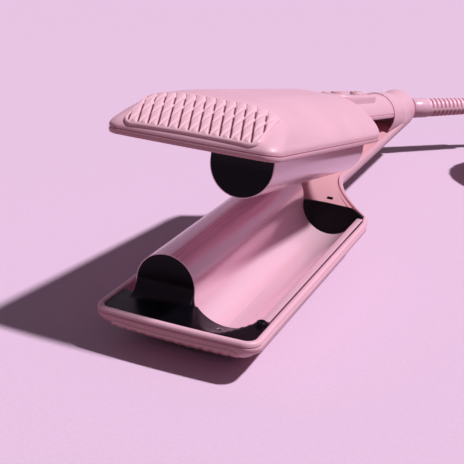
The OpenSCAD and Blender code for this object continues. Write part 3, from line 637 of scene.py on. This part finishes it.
def housingLevels():  # loops from the middle of the inner floor, over the rim, to the middle of the belly
    wall, corner, height = jaw["wall"], jaw["corner"], jaw["height"]
    innerSide, innerFront = sideLine(wall), frontLine(wall)
    outerSide, outerFront = sideLine(0), frontLine(0)
    flat = jaw["flatHalf"]
    levels = [("inner", out, flatFrom + (flat - out) * 0.9, height - wall, 4) for out in (0, 4.5, flat)]
    for depth in innerDepths:
        out, front = readAlong(innerSide, depth), readAlong(innerFront, depth)
        levels.append(("inner", out, front, depth, corner - wall))
    for inset, depth in rimSteps:
        levels.append(("rim", jaw["halfWidth"] - inset, inset, depth, corner - inset))
    for depth in outerDepths:
        out, front = readAlong(outerSide, depth), readAlong(outerFront, depth)
        levels.append(("outer", out, front, depth, corner + 3.5 * clamp((depth - 3.5) / 8)))
    return levels + [("outer", out, flatFrom + (flat - out) * 0.9, height, 10) for out in (flat, 6, 3, 0)]


def neckShares(y):  # how far the neck has drawn in towards the handle, across and in height
    t = clamp((y - neck["from"]) / (handle["from"] - neck["from"]))
    return 1 - (1 - t) ** neck["drawIn"], 1 - (1 - t) ** neck["rise"]


def skinShares(levels):  # how far along its own skin, inner, rim or outer, each level lies
    marks = []
    spans = {}
    last = None
    for kind, out, _, depth, _ in levels:
        joined = last is not None and last[0] == kind
        marks.append(marks[-1] + hypot(out - last[1], depth - last[2]) if joined else 0)
        spans[kind] = marks[-1]
        last = (kind, out, depth)
    return [mark / spans[level[0]] for mark, level in zip(marks, levels)]


def neckHalf(levels, up):  # where each level starts at the jaw, and where it ends on the half round handle
    half = []
    for (kind, out, _, depth, _), share in zip(levels, skinShares(levels)):
        radius = handle["radius"]
        turned = 0
        if kind == "inner":
            radius = handle["inner"]
            share = 1 - share
        elif kind == "rim":
            radius -= min(jaw["halfWidth"] - out, handle["rimWide"])
            turned = min(depth, 3) / handle["radius"] if depth > 0.3 else 0
            share = 0
        else:
            turned = handle["rimTurn"]
        lowest = handle["gap"] / radius + turned
        angle = lowest + (pi / 2 - lowest) * share
        half.append((out, -depth, radius * cos(angle), up - radius * sin(angle)))
    return half


def neckRing(half, y, shrink=1):  # one ring of the neck or the handle
    points = []
    drawn, risen = neckShares(y)
    for x, z, endX, endZ in half:
        nearX = x * (1 - shrink * neck["shrinkX"] / jaw["halfWidth"])
        nearZ = z * (1 - shrink * neck["shrinkZ"] / jaw["height"])
        points.append((nearX + (endX - nearX) * drawn, y, nearZ + (endZ - nearZ) * risen))
    return [(-x, y, z) for x, y, z in points] + list(reversed(points))


def blockFace():  # the plane just ahead of the end block, on the upper arm's axes
    turned = upperArm.inverted()
    near = turned @ Vector((0, (handle["to"] - handle["blockGap"] - halfLength) * mm, 0))
    return near, (turned.to_3x3() @ Vector((0, 1, 0))).normalized()


def addHousing(side):
    shape = bmesh.new()
    levels = housingLevels()
    loft(shape, [planLoop(out, front, corner, depth) for _, out, front, depth, corner in levels])
    half = neckHalf(levels, arms[side]["up"])
    rings = [neckRing(half, jaw["length"], 0), neckRing(half, neck["shoulder"], 0.5)]
    for step in range(neck["steps"] + 1):
        rings.append(neckRing(half, neck["from"] + (handle["from"] - neck["from"]) * step / neck["steps"]))
    handleEnd = handle["to"] if side == "lower" else handle["upperTo"]
    rings += [neckRing(half, y) for y in handle["stations"] + [handleEnd]]
    loft(shape, rings, closed=True)
    tidyShape(shape)
    if side == "upper":
        near, aim = blockFace()
        geometry = list(shape.verts) + list(shape.edges) + list(shape.faces)
        bmesh.ops.bisect_plane(shape, geom=geometry, dist=0.0001, plane_co=near, plane_no=aim,
                               clear_outer=True)
    closeHoles(shape)
    tree = BVHTree.FromBMesh(shape)
    addToArm(side, "Housing", "_shell", shape, housingPink, "shell")
    return tree


housingSkins = {side: addHousing(side) for side in arms}
print("stage: housings")


# nose grips

grip = {"width": 50.5, "length": 22, "from": 0.2, "corner": 3.6, "pitch": 3.75, "lean": 0.3, "raise": 0.9,
        "border": 1.125, "rounding": 0.9, "sunk": 0.05, "base": 0.12, "facet": 0.55, "fade": 0.5,
        "margin": 0.35, "columns": 300, "rows": 96, "slit": 0.07, "slitFloor": 0.04}


def gripInside(u, v):  # distance to the panel's rounded edge
    halfWide, halfLong, corner = grip["width"] / 2, grip["length"] / 2, grip["corner"]
    awayX = max(abs(u) - (halfWide - corner), 0)
    awayY = max(abs(v - halfLong) - (halfLong - corner), 0)
    if awayX > 0 and awayY > 0:
        return corner - hypot(awayX, awayY)
    return min(halfWide - abs(u), halfLong - abs(v - halfLong))


def gripHeight(u, v):  # u across from the middle, v along the slope from the panel's lower edge
    inside = gripInside(u, v)
    if inside < 0:
        return -0.4, 0
    roll = min(inside / grip["rounding"], 1)
    border = grip["raise"] * sqrt(max(0, 1 - (1 - roll) ** 2)) - grip["sunk"]
    if inside < grip["border"]:
        return border, 0
    # flat-topped diamonds between two crossing sets of grooves
    across, back = ((u + lean * v) / grip["pitch"] for lean in (-grip["lean"], grip["lean"]))
    nearA = abs(across - round(across))
    nearB = abs(back - round(back))
    facet = min(nearA * 2.6, 0.26 + nearB * 1.1, grip["facet"]) / grip["facet"]
    rise = (grip["raise"] + grip["base"]) * (0.78 + 0.22 * (nearA - nearB + 0.5))
    height = grip["base"] + rise * facet ** 0.8
    fade = min((inside - grip["border"]) / grip["fade"], 1)
    dark = 0
    up = v / grip["length"]
    # painted shade for the slits, stronger towards the panel's lower edge
    if nearA < grip["slit"] and (0.06 < up < 0.58 or 0.66 < up < 0.84):
        height = grip["slitFloor"]
        dark = fade * (1 - 0.6 * up)
    return border * (1 - fade) + height * fade, dark


def addGrip(side):  # a grid laid on the nose's slope, raised along the skin's own normals
    slope = atan(noseSlope)
    aim = Vector((0, sin(slope), cos(slope)))
    shape = bmesh.new()
    margin = grip["margin"]
    # this layer carries the slits' painted shade to the finish
    deep = shape.verts.layers.float.new("slitDepth")
    bmesh.ops.create_grid(shape, x_segments=grip["columns"], y_segments=grip["rows"], size=0.5)
    for vert in shape.verts:
        u = vert.co.x * (grip["width"] + 2 * margin)
        v = (vert.co.y + 0.5) * (grip["length"] + 2 * margin) - margin
        along = grip["from"] + v
        start = Vector((u, along * cos(slope), -jaw["band"] - along * sin(slope))) - aim * 6
        hit, normal, _, _ = housingSkins[side].ray_cast(start, aim, 20)
        if hit is None:
            hit, normal = start + aim * 6, -aim
        if normal.dot(aim) > 0:
            normal = -normal
        height, vert[deep] = gripHeight(u, v)
        vert.co = hit + normal * height
    shape.normal_update()
    if sum(face.normal.dot(aim) for face in shape.faces) > 0:
        bmesh.ops.reverse_faces(shape, faces=shape.faces)
    addToArm(side, "NoseGrip", "_nose_grip", shape, gripPink, "shell", sharp=32, join=0)


for side in arms:
    addGrip(side)
print("stage: nose grips")


# wave plates

def waveLine():  # the plate's outer face across the arm
    left = (-plate["waveX"], plate["barrelUp"])
    right = (plate["waveX"], plate["troughUp"])
    line = [(-plate["waveX"] - plate["barrel"], z) for z in (-2.0, 0.0, 2.5)]
    line += arcPoints(left, plate["barrel"], 180, 0, 44)
    endAngle = degrees(atan((plate["flangeZ"] - 0.5 - plate["troughUp"]) / 13.14))
    line += arcPoints(right, plate["trough"], 180, 360 + endAngle, 40)
    lastX, lastZ = line[-1]
    flat, edge = plate["flangeZ"], plate["edgeX"]
    line += bend((lastX + 0.02, lastZ + 0.05), (lastX + 0.25, flat), (lastX + 0.75, flat), 4)
    return line + [(27.6, flat), (edge - 0.3, flat), (edge - 0.08, flat - 0.08), (edge, flat - 0.3)]


def addPlate(side):
    shape = bmesh.new()
    line = waveLine()
    stations = [plate["from"], plate["from"] + 0.4, plate["from"] + 2]
    stations += [plate["from"] + 10 * step for step in range(1, 12)] + [plate["to"] - 0.4, plate["to"]]
    loft(shape, [[(x, y, z) for x, z in line] for y in stations])
    tidyShape(shape)
    crest = (-plate["waveX"], 80, plate["barrelUp"] + plate["barrel"])
    turnFaces(shape, nearestFace(shape, crest), (0, 0, 1))
    bmesh.ops.solidify(shape, geom=list(shape.faces), thickness=plate["thick"])
    roundEdges(shape, 0.14, 2, 60)
    addToArm(side, "WavePlate", "_plate", shape, pearls[side], "plate")


for side in arms:
    addPlate(side)
print("stage: plates")


# dark end caps

cap = {"front": 2.5, "ledge": -0.8, "lipUp": 10.6, "lipRadius": 16.7, "lipStart": 11.0, "face": 20.9,
       "cove": 6.5, "boss": 11.7, "inside": 10.3, "back": 20.5, "tabX": 27.0, "tabY": 18.2, "rim": 2.45,
       "screwX": 13.4, "screwY": 12.6, "lipFrom": 2, "lipLong": 18.7, "edge": 0.25}
capTab = {"sides": 28, "foot": 2.3, "head": 1.9, "tall": 3.4, "up": -1.3}


def capFront(x):  # where the cap meets the rim's inner wall
    edge = jaw["halfWidth"] - jaw["corner"]
    if abs(x) <= edge:
        return cap["front"] + jaw["bow"] * (x / edge) ** 2
    inner = jaw["corner"] - cap["rim"]
    return jaw["bow"] + jaw["corner"] - sqrt(max(0, inner ** 2 - (abs(x) - edge) ** 2))


def capLedge(x, y):  # the ledge with its dish that falls from the front rim to the lip
    radius = cap["lipStart"] + (y - cap["lipFrom"]) / cap["lipLong"] * (cap["lipRadius"] - cap["lipStart"])
    aside = abs(x - plate["waveX"])
    if aside >= radius:
        return cap["ledge"]
    dish = cap["lipUp"] - sqrt(radius ** 2 - aside ** 2)
    blend = cap["ledge"] - dish
    return cap["ledge"] if blend < 0 else dish + 0.25 * 2.718 ** (-blend * 2)


def capColumns():
    columns = [-29.55, -29.3, -28.4, -27, -25.5, -24.2]
    columns += [-plate["waveX"] - cap["boss"] * cos(radians(angle)) for angle in range(0, 181, 6)]
    columns += [-1.6, -0.9, 0, 1, 2.2, 3.6] + [5 + 1.5 * step for step in range(13)]
    columns += [24.2, 25, 26, 27, 28, 28.8, 29.3, 29.55]
    return sorted(set(round(x, 3) for x in columns))


def capFloor(x, back):  # from below the front rim over the ledge to the foot of the boss or the lip
    front, ledge = capFront(x), cap["ledge"]
    points = [(x, front, -3.0), (x, front, ledge - 0.45), (x, front + 0.12, ledge - 0.12)]
    for step in range(15):
        y = front + 0.45 + (back - front - 0.45) * step / 14
        points.append((x, y, capLedge(x, y)))
    return points


def capBoss(x, aside):  # up the cove and the arch's face, and over its edge
    ledge, cove, face = cap["ledge"], cap["cove"], cap["face"]
    top = plate["barrelUp"] + sqrt(cap["boss"] ** 2 - aside ** 2)
    foot = ledge + cove
    points = capFloor(x, face - cove)
    for step in range(1, 13):
        angle = radians(90 * step / 12)
        points.append((x, face - cove + cove * sin(angle), min(foot - cove * cos(angle), top - 0.3)))
    for step in range(1, 9):
        z = foot + (top - 0.3 - foot) * step / 8
        points.append((x, face, min(max(z, ledge), top - 0.3)))
    inside = top - 1
    if aside < cap["inside"]:
        inside = plate["barrelUp"] + sqrt(cap["inside"] ** 2 - aside ** 2)
    return points + [(x, face + 0.02, top - 0.06), (x, face + 0.06, top), (x, face + 0.07, inside)]


def capLip(x):  # to the ledge's rear and down behind it
    back, edge = cap["back"], cap["edge"]
    low = capLedge(x, back)
    points = capFloor(x, back)
    for step in range(1, 13):
        angle = radians(90 * step / 12)
        points.append((x, back + edge * sin(angle), low - edge * (1 - cos(angle))))
    points += [(x, back + edge, low - edge - 0.1 * step) for step in range(1, 9)]
    return points + [(x, back + 0.2, low - 2), (x, back - 0.6, low - 2.6), (x, back - 3, -7.5)]


def capColumn(x):
    aside = abs(x + plate["waveX"])
    return capBoss(x, aside) if aside < cap["boss"] - 0.001 else capLip(x)


def addEndCap(side):
    shape = bmesh.new()
    loft(shape, [capColumn(x) for x in capColumns()])
    tidyShape(shape, 0.0005)
    turnFaces(shape, nearestFace(shape, (-27, 14, cap["ledge"])), (0, 0, 1))
    place = Matrix.Translation((cap["tabX"], cap["tabY"], capTab["up"]))
    bmesh.ops.create_cone(shape, cap_ends=True, segments=capTab["sides"], radius1=capTab["foot"],
                          radius2=capTab["head"], depth=capTab["tall"], matrix=place)
    lids = [face for face in shape.faces if len(face.verts) == capTab["sides"]]
    lid = max(lids, key=lambda face: face.calc_center_median().z)
    for inset, lift in ((0.35, 0.35), (0.45, 0), (0.5, -0.45)):
        bmesh.ops.inset_region(shape, faces=[lid], thickness=inset, depth=0.0)
        bmesh.ops.translate(shape, verts=lid.verts, vec=(0, 0, lift))
    addToArm(side, "EndCap", "_end_cap", shape, capBlack, "dark_cap", sharp=48, join=0)


def addCapScrew(side):
    shape = bmesh.new()
    profile = [(0.0, -0.55), (0.4, -0.55), (0.55, -0.5), (0.6, 0.0), (0.66, 0.04), (1.1, 0.0), (1.3, -0.12),
               (1.35, -0.4), (1.35, -1.2)]
    spinProfile(shape, profile, 36)
    x, y = cap["screwX"], cap["screwY"]
    place = Matrix.Translation((x, y, capLedge(x, y) + 0.22)) @ Matrix.Rotation(pi / 2, 4, "X")
    addToArm(side, "CapScrew", "_cap_screw", shape, steelBrushed, "steel", place)


rearWall = {"from": 144.12, "to": 146.9, "deep": 2.3, "left": -0.6, "right": 29.2, "across": 40, "up": 16}
barrelPlug = {"from": 143.2, "to": 144, "gap": 1.4, "chamfer": 0.2}
rearWallTop = [(3.5, -1), (3.6, 10), (3.2, 22.7), (1.0, 27), (-0.7, 29.4)]  # height, then place across


def addRearWall(side):  # the trough runs out in a dark bowl, and a disc closes the barrel
    shape = bmesh.new()
    rings = []
    for column in range(rearWall["across"] + 1):
        s = column / rearWall["across"]
        x = rearWall["left"] + (rearWall["right"] - rearWall["left"]) * s
        aside = min(abs(x - plate["waveX"]), plate["trough"] + 0.5)
        low = plate["troughUp"] - sqrt((plate["trough"] + 0.6) ** 2 - aside ** 2)
        low = min(low, plate["flangeZ"] - 0.6)
        high = readAlong(rearWallTop, x)
        ring = []
        for row in range(rearWall["up"] + 1):
            t = row / rearWall["up"]
            bowl = rearWall["deep"] * t ** 0.6 * sqrt(max(0, 1 - (2 * s - 1) ** 2))
            ring.append((x, rearWall["from"] + bowl, low + (high - low) * t))
        ring += [(x, rearWall["to"], high - 0.05), (x, rearWall["to"], low)]
        rings.append(ring)
    loftSolid(shape, rings)
    addToArm(side, "RearWall", "_rear_wall", shape, wallBlack, "dark_cap")
    disc = bmesh.new()
    start, end, chamfer = barrelPlug["from"], barrelPlug["to"], barrelPlug["chamfer"]
    out = plate["barrel"] - barrelPlug["gap"]
    spinProfile(disc, [(0, start), (out - chamfer, start), (out, start + chamfer), (out, end), (0, end)], 60)
    place = Matrix.Translation((-plate["waveX"], 0, plate["barrelUp"]))
    addToArm(side, "BarrelPlug", "_rear_wall", disc, wallBlack, "dark_cap", place)


for side in arms:
    addEndCap(side)
    addCapScrew(side)
    addRearWall(side)
print("stage: caps and walls")


# inner covers of necks and handles

cover = {"gap": 0.35, "inset": 2.2, "low": -0.25, "endInset": 0.1, "endLow": 0.05, "start": 147.0,
         "neckTo": 172, "handleAt": [180, 200, 225, 250, 277.6], "thick": 1.2, "deep": 1.6, "rows": 26,
         "columns": 18}


def coverSection(y, up):  # half width and height of the opening that a cover closes
    wide, low = jaw["halfWidth"] - jaw["wall"] - cover["inset"], cover["low"]
    endWide, endHigh = handle["inner"] - cover["endInset"], up - handle["gap"] - cover["endLow"]
    drawn, risen = neckShares(y)
    return wide + (endWide - wide) * drawn - cover["gap"], low + (endHigh - low) * risen


def addCover(side):
    up = arms[side]["up"]
    shape = bmesh.new()
    neckLong = cover["neckTo"] - cover["start"]
    ys = [cover["start"] + neckLong * step / cover["rows"] for step in range(cover["rows"] + 1)]
    ys += cover["handleAt"]
    rows = []
    for y in ys:
        wide, high = coverSection(y, up)
        edge = [(wide - 0.1, y, high - 0.08), (wide, y, high - 0.3), (wide, y, high - cover["deep"])]
        row = [(-x, y, z) for x, _, z in reversed(edge)]
        for step in range(cover["columns"] + 1):
            x = (wide - 0.35) * (2 * step / cover["columns"] - 1)
            row.append((x, y, high - 0.15 * abs(x / wide) ** 6))
        rows.append(row + edge)
    loft(shape, rows)
    tidyShape(shape, 0.0005)
    turnFaces(shape, nearestFace(shape, (0, 225, up)), (0, 0, 1))
    bmesh.ops.solidify(shape, geom=list(shape.faces), thickness=cover["thick"])
    addToArm(side, "InnerCover", "_inner_cover", shape, coverPink, "cover", join=0.0005)


slot = {"x": 9.8, "y": 152.4, "long": 3.0, "wide": 1.5, "deep": 0.7, "sunk": 0.2}


def addLatchSlot():  # small slot at the foot of the lower neck; a black block stands for its inside as painted shade
    shape = bmesh.new()
    _, up = coverSection(slot["y"], arms["lower"]["up"])
    _, upAhead = coverSection(slot["y"] + 1, arms["lower"]["up"])
    place = (Matrix.Translation((slot["x"], slot["y"], up - slot["sunk"]))
             @ Matrix.Rotation(atan(upAhead - up), 4, "X")
             @ Matrix.Diagonal((slot["long"], slot["wide"], slot["deep"], 1)))
    bmesh.ops.create_cube(shape, size=1, matrix=place)
    roundEdges(shape, 0.25, 3)
    makePiece("latchSlot", shape, wallBlack, "lower_arm", lowerArm, "dark_cap")


addLatchSlot()
for side in arms:
    addCover(side)
print("stage: covers")


# end block

block = {"from": 286, "to": 320, "round": 6, "mouth": 3.5, "mouthTurn": 52, "mouthReach": 30,
         "ballRoom": 5.75}


def takeAway(piece, cutter):  # a real cut, made here and now, so that no helper stays in the scene
    cut = piece.modifiers.new("cut", "BOOLEAN")
    cut.object = cutter
    cut.solver = "EXACT"
    graph = bpy.context.evaluated_depsgraph_get()
    done = bpy.data.meshes.new_from_object(piece.evaluated_get(graph))
    piece.modifiers.remove(cut)
    old = piece.data
    piece.data = done
    smoothMesh(done)
    bpy.data.meshes.remove(old)
    bpy.data.objects.remove(cutter)


def addEndBlock():  # with a round seat for the ball and a slot that the guard swings in
    shape = bmesh.new()
    radius, start, end = handle["radius"], block["from"], block["to"]
    profile = [(0, start + 0.6), (8, start + 0.6), (9.6, start), (11.3, start), (11.8, start + 0.15),
               (radius, start + 0.6), (radius, start + 4)]
    profile += [(radius, y) for y in (295, 305, 312)]
    profile += arcPoints((radius - block["round"], end - block["round"]), block["round"], 0, 90, 14)
    profile += [(3, end), (0, end)]
    spinProfile(shape, profile, 72)
    place = lowerArm @ Matrix.Translation((0, 0, handle["lowerUp"]))
    piece = makePiece("endBlock", shape, housingPink, "lower_arm", place, "shell", ["lower_shell"])
    ball = bmesh.new()
    bmesh.ops.create_uvsphere(ball, u_segments=40, v_segments=20, radius=block["ballRoom"],
                              matrix=Matrix.Translation((0, cord["ballY"], 0)))
    mouth = block["mouth"]
    fan = bmesh.new()
    ballAt, turn = (0, cord["ballY"]), block["mouthTurn"]
    outline = [ballAt] + arcPoints(ballAt, block["mouthReach"], 90 + turn, 90 - turn, 24)
    face = fan.faces.new([fan.verts.new((x, y, -mouth)) for x, y in outline])
    grown = bmesh.ops.extrude_face_region(fan, geom=[face])["geom"]
    raised = [item for item in grown if isinstance(item, bmesh.types.BMVert)]
    bmesh.ops.translate(fan, verts=raised, vec=(0, 0, 2 * mouth))
    bmesh.ops.recalc_face_normals(fan, faces=fan.faces)
    for name, cutter in (("ballRoom", ball), ("mouthRoom", fan)):
        takeAway(piece, addObject(name, cutter, place))


sleeve = {"from": 258, "to": 285, "inner": 12.15, "outer": 12.5, "short": 0.3, "ease": 4, "wrap": 60,
          "rows": 28}


def addHingeSleeve():  # wraps the rear of the upper handle and closes the gap beside the hinge
    shape = bmesh.new()
    near, aim = blockFace()
    outer = sleeve["outer"]
    rows = []
    for row in range(sleeve["rows"] + 1):
        along = row / sleeve["rows"]
        y = sleeve["from"] + (sleeve["to"] - sleeve["from"]) * along
        drop = (hinge["y"] - y) * sin(radians(hinge["openAngle"])) - sleeve["short"]
        ease = min(1, (y - sleeve["from"]) / sleeve["ease"])
        drop *= 0.86 + 0.14 * sqrt(1 - (1 - ease) ** 2)
        wrap = degrees(atan(drop / sqrt(outer ** 2 - drop ** 2)))
        ring = []
        for x, z in arcPoints((0, arms["upper"]["up"]), outer, wrap, -180 - wrap, sleeve["wrap"]):
            rear = min(sleeve["to"], near.y - (z - near.z) * aim.z / aim.y)
            ring.append((x, sleeve["from"] + (rear - sleeve["from"]) * along, z))
        rows.append(ring)
    loft(shape, rows)
    tidyShape(shape)
    turnFaces(shape, min(shape.faces, key=lambda face: face.calc_center_median().z), (0, 0, -1))
    bmesh.ops.solidify(shape, geom=list(shape.faces), thickness=outer - sleeve["inner"])
    makePiece("hingeSleeve", shape, housingPink, "upper_arm", upperArm, "shell", ["upper_shell"])


addEndBlock()
addHingeSleeve()
print("stage: end block")


# controls

controls = {"middle": 199, "length": 54, "width": 12, "top": -17.0, "powerY": 179, "plusY": 211,
            "minusY": 219.5, "power": 8, "step": 6, "well": 8, "wellMargin": 2.5}


def stadium(longer, wider, z):  # a round-ended outline, larger than the panel by so much
    length, width = controls["length"] + longer, controls["width"] + wider
    reach = (length - width) / 2
    ends = arcPoints((0, reach), width / 2, 0, 180, 18) + arcPoints((0, -reach), width / 2, 180, 360, 18)
    return [(x, y + controls["middle"], z) for x, y in ends]


def openHandle():  # the keys sink into a well cut in the upper handle
    shape = bmesh.new()
    top, margin = controls["top"], controls["wellMargin"]
    loftSolid(shape, [stadium(margin, margin, z) for z in (top - controls["well"], top)])
    bmesh.ops.recalc_face_normals(shape, faces=shape.faces)
    takeAway(bpy.data.objects["upperHousing"], addObject("wellRoom", shape, upperArm))


def addPod():
    shape = bmesh.new()
    top = controls["top"]
    levels = [(7, 5, -9), (7, 5, top + 1.6), (6.8, 4.8, top + 0.9), (6, 4, top + 0.25), (5, 3, top),
              (1, 1, top), (0.5, 0.5, top + 0.12), (0.3, 0.3, top + 0.4), (0.3, 0.3, top + 2.0)]
    loft(shape, [stadium(*level) for level in levels], closed=True)
    makePiece("controlPod", shape, housingPink, "upper_arm", upperArm, "shell", ["upper_shell"], join=0.0005)


def addButton(name, across, y):
    shape = bmesh.new()
    radius = across / 2
    profile = [(0, 0.22), (radius * 0.45, 0.18), (radius * 0.7, 0.06), (radius - 0.5, 0.0)]
    profile += [(radius - 0.15, 0.1), (radius, 0.4), (radius, 3.2), (0, 3.2)]
    spinProfile(shape, profile, 48)
    place = upperArm @ Matrix.Translation((0, y, controls["top"] - 0.7)) @ Matrix.Rotation(pi / 2, 4, "X")
    makePiece(name + "Button", shape, buttonPink, name + "_key", place, "button", [name + "_button"])


def finishMark(name, shape, body):
    makePiece(name, shape, wallBlack, body, upperArm, "dark_cap", join=0.00005)


def addMark(name, bars, y, body):  # a raised mark of crossed or single bars
    shape = bmesh.new()
    for long, wide, shift in bars:
        place = Matrix.Translation((0, y + shift, controls["top"] - 0.58))
        bmesh.ops.create_cube(shape, size=1, matrix=place @ Matrix.Diagonal((long, wide, 0.22, 1)))
    roundEdges(shape, 0.05, 2)
    finishMark(name, shape, body)


def addPowerRing():
    shape = bmesh.new()
    section = [(1.25, -0.5), (1.3, -0.64), (1.5, -0.64), (1.55, -0.5)]
    arcs = [[(x, y, controls["top"] + up) for x, y in arcPoints((0, controls["powerY"]), out, -240, 60, 28)]
            for out, up in section]
    loftSolid(shape, list(zip(*arcs)))
    finishMark("powerRing", shape, "power_key")


def addControls():
    openHandle()
    addPod()
    dressNode("control_panel", panelPink, 0.25)
    dressNode("display_window", smokedWindow, 0.2)
    powerY, plusY, minusY = controls["powerY"], controls["plusY"], controls["minusY"]
    addButton("power", controls["power"], powerY)
    addButton("plus", controls["step"], plusY)
    addButton("minus", controls["step"], minusY)
    addMark("plusMark", [(2.2, 0.4, 0), (0.4, 2.2, 0)], plusY, "plus_key")
    addMark("minusMark", [(0.4, 2.2, 0)], minusY, "minus_key")
    addMark("powerBar", [(0.3, 1.3, 1.0)], powerY, "power_key")
    addPowerRing()


addControls()
print("stage: controls")


# cord guard

guard = {"from": 10.9, "collarTo": 21.7, "to": cord["guardTo"], "collar": 6.0, "start": 5.7, "end": 4.8,
         "core": 3.9, "pitch": 3.0, "slot": 1.4, "first": 1.5, "last": 6, "split": 0.7, "sides": 64}
guardPlace = toMetres @ Matrix.Translation(guardPivot) @ Matrix.Rotation(radians(-cord["guardTurn"]), 4, "Z")
guardLong = guard["to"] - guard["collarTo"]


def guardSlots():  # the slots lie above and below by turns
    slots = []
    for index in range(int((guardLong - guard["last"]) / guard["pitch"]) + 1):
        for side in (0, 1):
            at = guard["collarTo"] + guard["first"] + (index + side / 2) * guard["pitch"]
            slots.append((at, at + guard["slot"], 1 - 2 * side))
    return slots


def guardRing(y, slots):
    outer = guard["start"] + (guard["end"] - guard["start"]) * (y - guard["collarTo"]) / guardLong
    outer -= max(0, y - guard["to"] + 0.5) * 1.1
    ring = []
    for step in range(guard["sides"]):
        angle = 2 * pi * step / guard["sides"]
        radius = outer
        for start, end, side in slots:
            if start + 0.05 < y < end - 0.05 and side * sin(angle) * outer > guard["split"]:
                radius = guard["core"]
        ring.append((radius * cos(angle), y, radius * sin(angle)))
    return ring


def addGuard():
    shape = bmesh.new()
    start, collarTo, end, out = guard["from"], guard["collarTo"], guard["to"], guard["collar"]
    slots = guardSlots()
    ys = {collarTo, collarTo + 0.3, end - 1.2, end - 0.4, end - 0.1, end}
    for near, far, _ in slots:
        ys |= {near, near + 0.12, far - 0.12, far}
    loftSolid(shape, [guardRing(y, slots) for y in sorted(ys)])
    makePiece("cordGuard", shape, guardPink, "cord_sleeve", guardPlace, "guard", ["cord_guard"], sharp=30)
    collar = bmesh.new()
    profile = [(3.3, start + 0.1), (5.2, start), (5.75, start + 0.2), (out, start + 0.8), (out, start + 5),
               (out, collarTo - 0.7), (5.8, collarTo - 0.15), (5.3, collarTo + 0.1), (3.3, collarTo + 0.1)]
    spinProfile(collar, profile, 64)
    makePiece("guardCollar", collar, collarPink, "cord_sleeve", guardPlace, "guard", ["cord_guard"])


addGuard()
dressNode("swivel_ball", collarPink)

# inner pieces

for side in arms:
    dressNode(side + "_heater", heaterWhite, 0.2)
    dressNode(side + "_plate_carrier", carrierMica)
    dressNode(side + "_heat_sensor", sensorCopper, 0.2)
dressNode("circuit_board", greenBoard)
dressNode("hinge_pin", steelBrushed, 0.2)
dressNode("return_spring", springSteel)
dressNode("handle_screws", steelBrushed)
print("stage: guard and inner pieces")


# floor and light

light = {"sun": 3.25, "sunSize": 3.5, "sunColour": (1.0, 0.985, 0.97), "from": (0.51, 0.06, 0.86),
         "sky": 0.1, "skyColour": (1, 0.96, 0.99, 1), "glossSees": 0.5, "floorHalf": 4}
backdrop = tint(235, 200, 233)


def addFloor():
    shape = bmesh.new()
    bmesh.ops.create_grid(shape, x_segments=2, y_segments=2, size=light["floorHalf"])
    finish = Finish("paleFloor", {"Roughness": 0.9, "Specular IOR Level": 0.1})
    paper = finish.noise(700, 3.0)
    base = finish.mix(finish.ramp(paper, [(0.3, 0.0), (0.7, 1.0)]), tint(232, 197, 230), tint(237, 202, 235))
    bounced = finish.node("ShaderNodeLightPath", {}, {}, "Is Diffuse Ray")
    base = finish.mix(bounced, base, tint(140, 104, 112))  # throws less light back up
    floor = addObject("floor", shape, Matrix.Identity(4))
    floor.data.materials.append(finish.use({"Base Color": base}))


def addLight():
    data = bpy.data.lights.new("softSun", "SUN")
    data.energy = light["sun"]
    data.angle = radians(light["sunSize"])
    data.color = light["sunColour"]
    aim = Vector(light["from"]).normalized()
    linkObject("softSun", data).matrix_world = aim.to_track_quat("Z", "Y").to_matrix().to_4x4()


def addSky():  # the camera sees the backdrop, and the pieces are lit by a dim, even sky
    world = bpy.data.worlds.new("studio")
    bpy.context.scene.world = world
    world.use_nodes = True
    world.node_tree.nodes.clear()
    sky = Nodes(world.node_tree)
    camera, passed, glossy = (sky.node("ShaderNodeLightPath", {}, {}, "Is " + ray + " Ray")
                              for ray in ("Camera", "Transmission", "Glossy"))
    dim = sky.node("ShaderNodeBackground", {}, {"Color": light["skyColour"], "Strength": light["sky"]})
    wall = sky.node("ShaderNodeBackground", {}, {"Color": backdrop})
    seen = camera.largest(passed).largest(glossy * light["glossSees"])
    mixed = sky.node("ShaderNodeMixShader", {}, {0: seen, 1: dim, 2: wall})
    sky.feed(sky.tree.nodes.new("ShaderNodeOutputWorld").inputs["Surface"], mixed)


addFloor()
addLight()
addSky()
bpy.context.scene.view_settings.view_transform = "Standard"
print("stage: floor and light")
